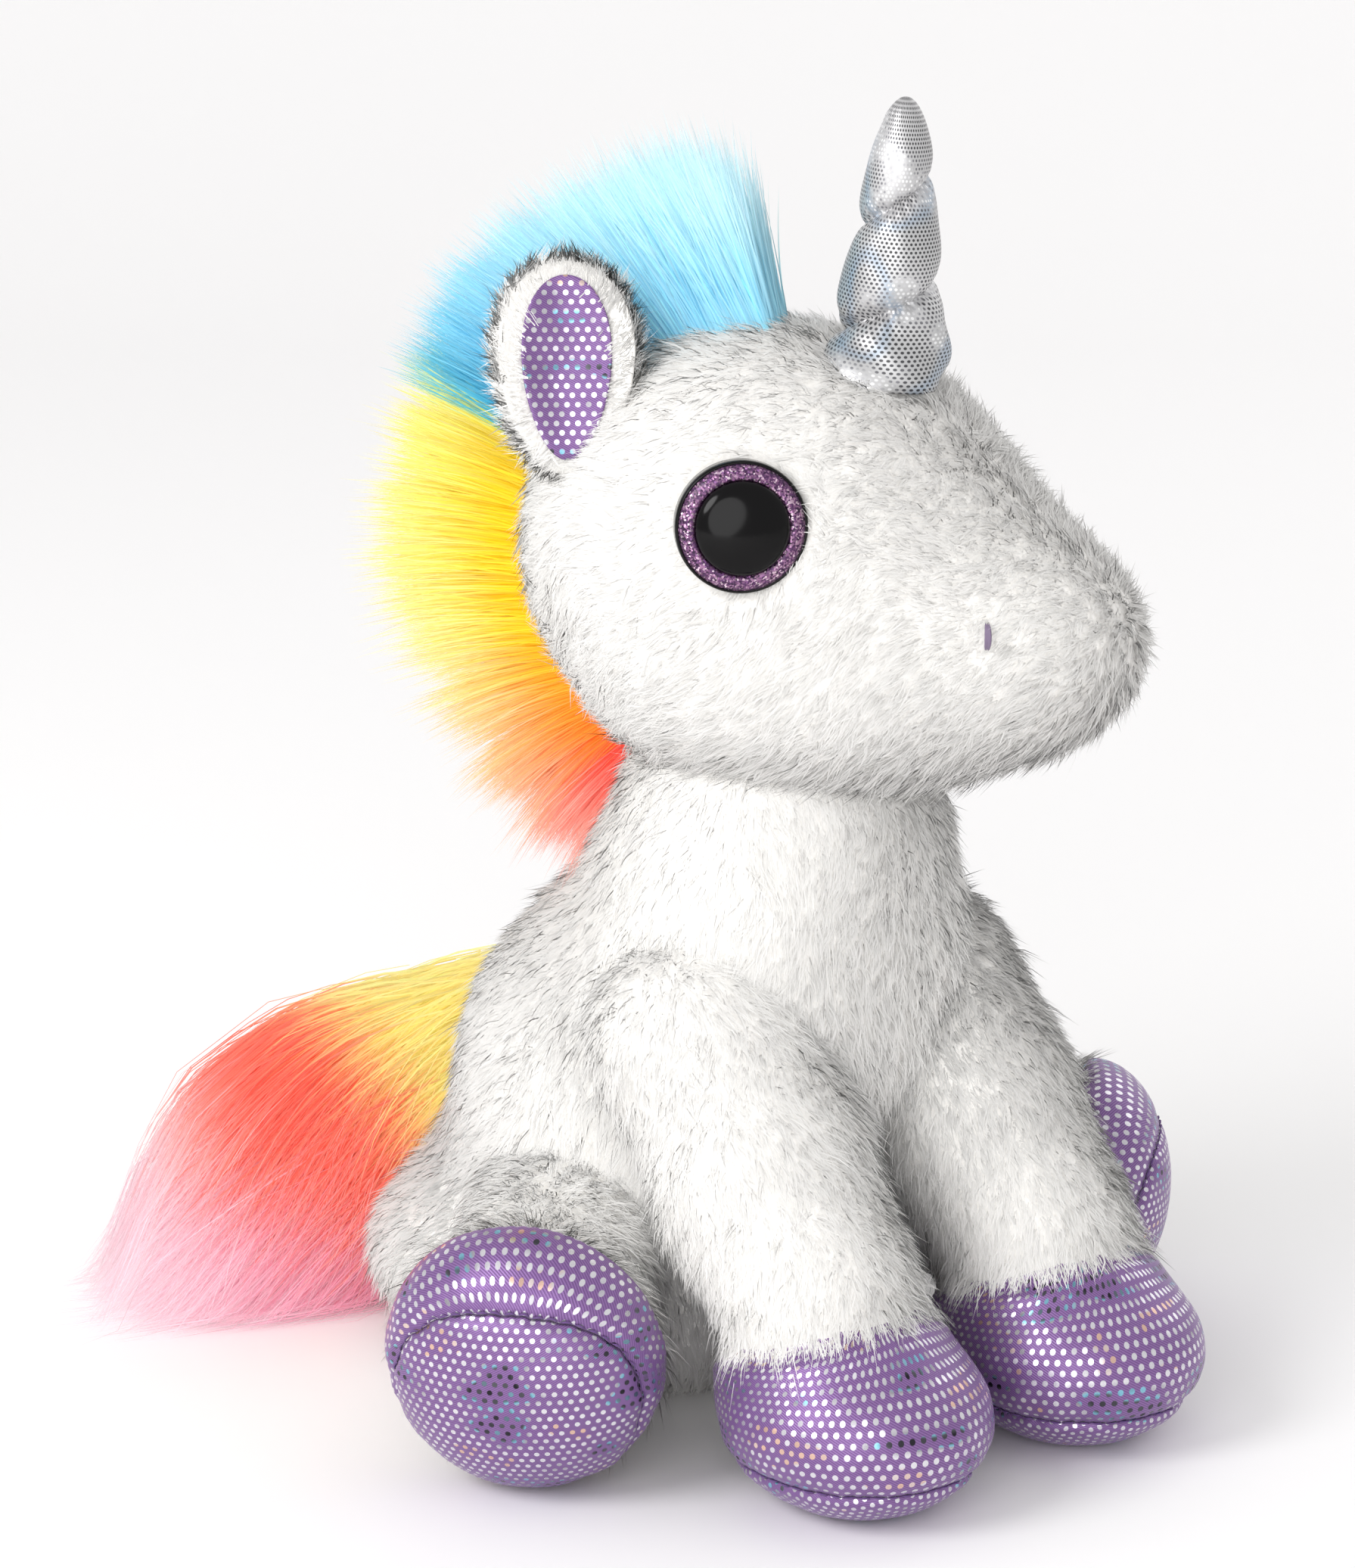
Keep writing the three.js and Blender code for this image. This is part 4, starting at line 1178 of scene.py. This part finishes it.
def growTail(name, count):
    q = rng.random(count)
    out = rng.random(count)
    start = [rng.normal(size=count) * 4.5, 2 + 37 * out, 17 - 48 * q * (1 - 0.3 * out) - 9 * out]
    start = np.stack(start, -1)
    lock = np.round(q * 26 + out * 5)
    sway = np.sin(lock * 12.9898) * 0.6 + np.sin(lock * 5.3) * 0.4
    first = np.radians(-2 - 28 * q + 6 * sway + rng.normal(size=count) * 6)
    last = np.radians(-72 + 30 * q + 8 * sway + rng.normal(size=count) * 9)
    long = (62 + 12 * out + 14 * q + 4 * sway + rng.normal(size=count) * 6).clip(35, 90)
    splay = (start[:, 0] / 4.5 * 0.1 + rng.normal(size=count) * 0.06).clip(-0.16, 0.16)
    levels = tailSize["levels"]
    t = np.linspace(0, 1, levels)
    bent = first[:, None] + (last - first)[:, None] * t**0.8
    steps = np.stack([np.sin(splay)[:, None] + 0 * t, np.cos(bent), np.sin(bent)], -1)
    steps *= (long / (levels - 1))[:, None, None]
    paths = start[:, None] + np.concatenate([np.zeros((count, 1, 3)), np.cumsum(steps[:, 1:], 1)], 1)
    # combed to the tail's outline, which falls from the root to the floor, and kept from leaning out behind
    outline = np.interp(paths[..., 1], [14, 36, 61, 85, 97, 106], [19, 15, 5, -14, -37, -62])
    outline -= 5 * rng.random(count)[:, None] ** 2
    paths[..., 2] = np.minimum(paths[..., 2], outline)
    paths[..., 2] = np.maximum(paths[..., 2], -64.0 + 3 * rng.random(count)[:, None])
    beyond = np.maximum(0.883 * paths[..., 0] + 0.469 * paths[..., 1] - 60, 0)
    paths[..., 0] -= beyond * 0.65
    dye = tailDye(paths, (rng.normal(size=count) * 6)[:, None])
    pale = (smooth(t, 0.6, 1.0)[None, :] * rng.uniform(0.3, 0.9, count)[:, None])[..., None]
    dye = dye * (1 - pale) + (dye * 0.35 + 0.62) * pale
    dye *= (1 + 0.1 * rng.normal(size=(count, 1, 1))).clip(0.75, 1.2)
    facing = [np.sign(start[:, 0]), rng.normal(size=count) * 0.5, rng.normal(size=count) * 0.5]
    facing = np.stack(facing, -1)
    lie = unit(np.stack([np.sign(start[:, 0]) * 0.9, np.full(count, 0.2), np.full(count, 0.45)], -1))
    widths = tailSize["wide"] * rng.uniform(0.5, 1.3, count)
    paths, facing, lie = tailPlace.points(paths), tailPlace.ways(facing), tailPlace.ways(lie)
    made = hairs(name, paths, widths, facing, np.clip(dye, 0, 1), lie)
    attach(made, "tail")
    return made

tailUpper = growTail("tail pile upper", tailSize["hairs"] // 2)
growTail("tail pile lower", tailSize["hairs"] // 2)
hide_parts("tail_pile", "tail_core")
print("tail done")

floorWhite = makePlain("matt white sweep", "fbfafa", 0.9)
# one sheet: flat under the toy, then curving up behind it
curve = np.linspace(0.1, math.pi / 2, 12)
along = np.concatenate([np.linspace(-1500, 1300, 15), 1300 + 700 * np.sin(curve)])
rise = np.concatenate([np.zeros(15), 700 - 700 * np.cos(curve)])
along, rise = np.append(along, 2000), np.append(rise, 3200)
wide = np.linspace(-3200, 3200, 12)
back = np.array([0.643, 0.766])
across = np.array([0.766, -0.643])
grid = along[:, None, None] * np.append(back, 0) + wide[None, :, None] * np.append(across, 0)
grid = grid + rise[:, None, None] * np.array([0, 0, 1.0])
rows, columns = grid.shape[:2]
i = np.arange(rows - 1)[:, None] * columns + np.arange(columns - 1)
sheet = np.stack([i, i + 1, i + columns + 1, i + columns], -1).reshape(-1, 4)
floor = makeMesh("floor and backdrop", grid.reshape(-1, 3) - [0, 0, 0.1], sheet, floorWhite)
floor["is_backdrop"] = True

world = bpy.data.worlds.new("room")
bpy.context.scene.world = world
world.use_nodes = True
world.node_tree.nodes["Background"].inputs[0].default_value = (1.0, 1.0, 1.0, 1)
world.node_tree.nodes["Background"].inputs[1].default_value = 0.74


def areaLight(name, at, aim, size, power):
    data = bpy.data.lights.new(name, "AREA")
    data.shape, data.size, data.energy = "DISK", size, power
    lamp = bpy.data.objects.new(name, data)
    lamp.location = at
    way = np.array(aim) - np.array(at)
    lamp.rotation_mode = "QUATERNION"
    lamp.rotation_quaternion = mathutils.Vector(way).to_track_quat("-Z", "Y")
    bpy.context.scene.collection.objects.link(lamp)

middle = (0, -0.04, 0.14)
# softboxes by place, size in metres and power in watts
lamps = {
    "key softbox": ((-1.5, 0.0, 1.15), 0.9, 14),
    "front softbox": ((-1.4, -1.2, 0.6), 1.5, 13),
    "right softbox": ((1.5, 0.1, 1.0), 1.4, 3),
}
for name, (at, size, power) in lamps.items():
    areaLight(name, at, middle, size, power)

camera = bpy.data.objects.new("camera", bpy.data.cameras.new("camera"))
bpy.context.scene.collection.objects.link(camera)
bpy.context.scene.camera = camera
view = {"azimuth": -40.0, "elevation": 15.0, "away": 1.1, "lens": 116.6, "aim": (-0.030, -0.0463, 0.1458)}
a, e = math.radians(view["azimuth"]), math.radians(view["elevation"])
away = mathutils.Vector((math.sin(a) * math.cos(e), -math.cos(a) * math.cos(e), math.sin(e)))
camera.location = mathutils.Vector(view["aim"]) + away * view["away"]
camera.rotation_mode = "QUATERNION"
camera.rotation_quaternion = (-away).to_track_quat("-Z", "Y")
camera.data.lens = view["lens"]
camera.data.sensor_width = 36.0
bpy.context.scene.view_settings.view_transform = "Standard"
bpy.context.scene.view_settings.look = "None"
print("stage set")

low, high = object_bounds()
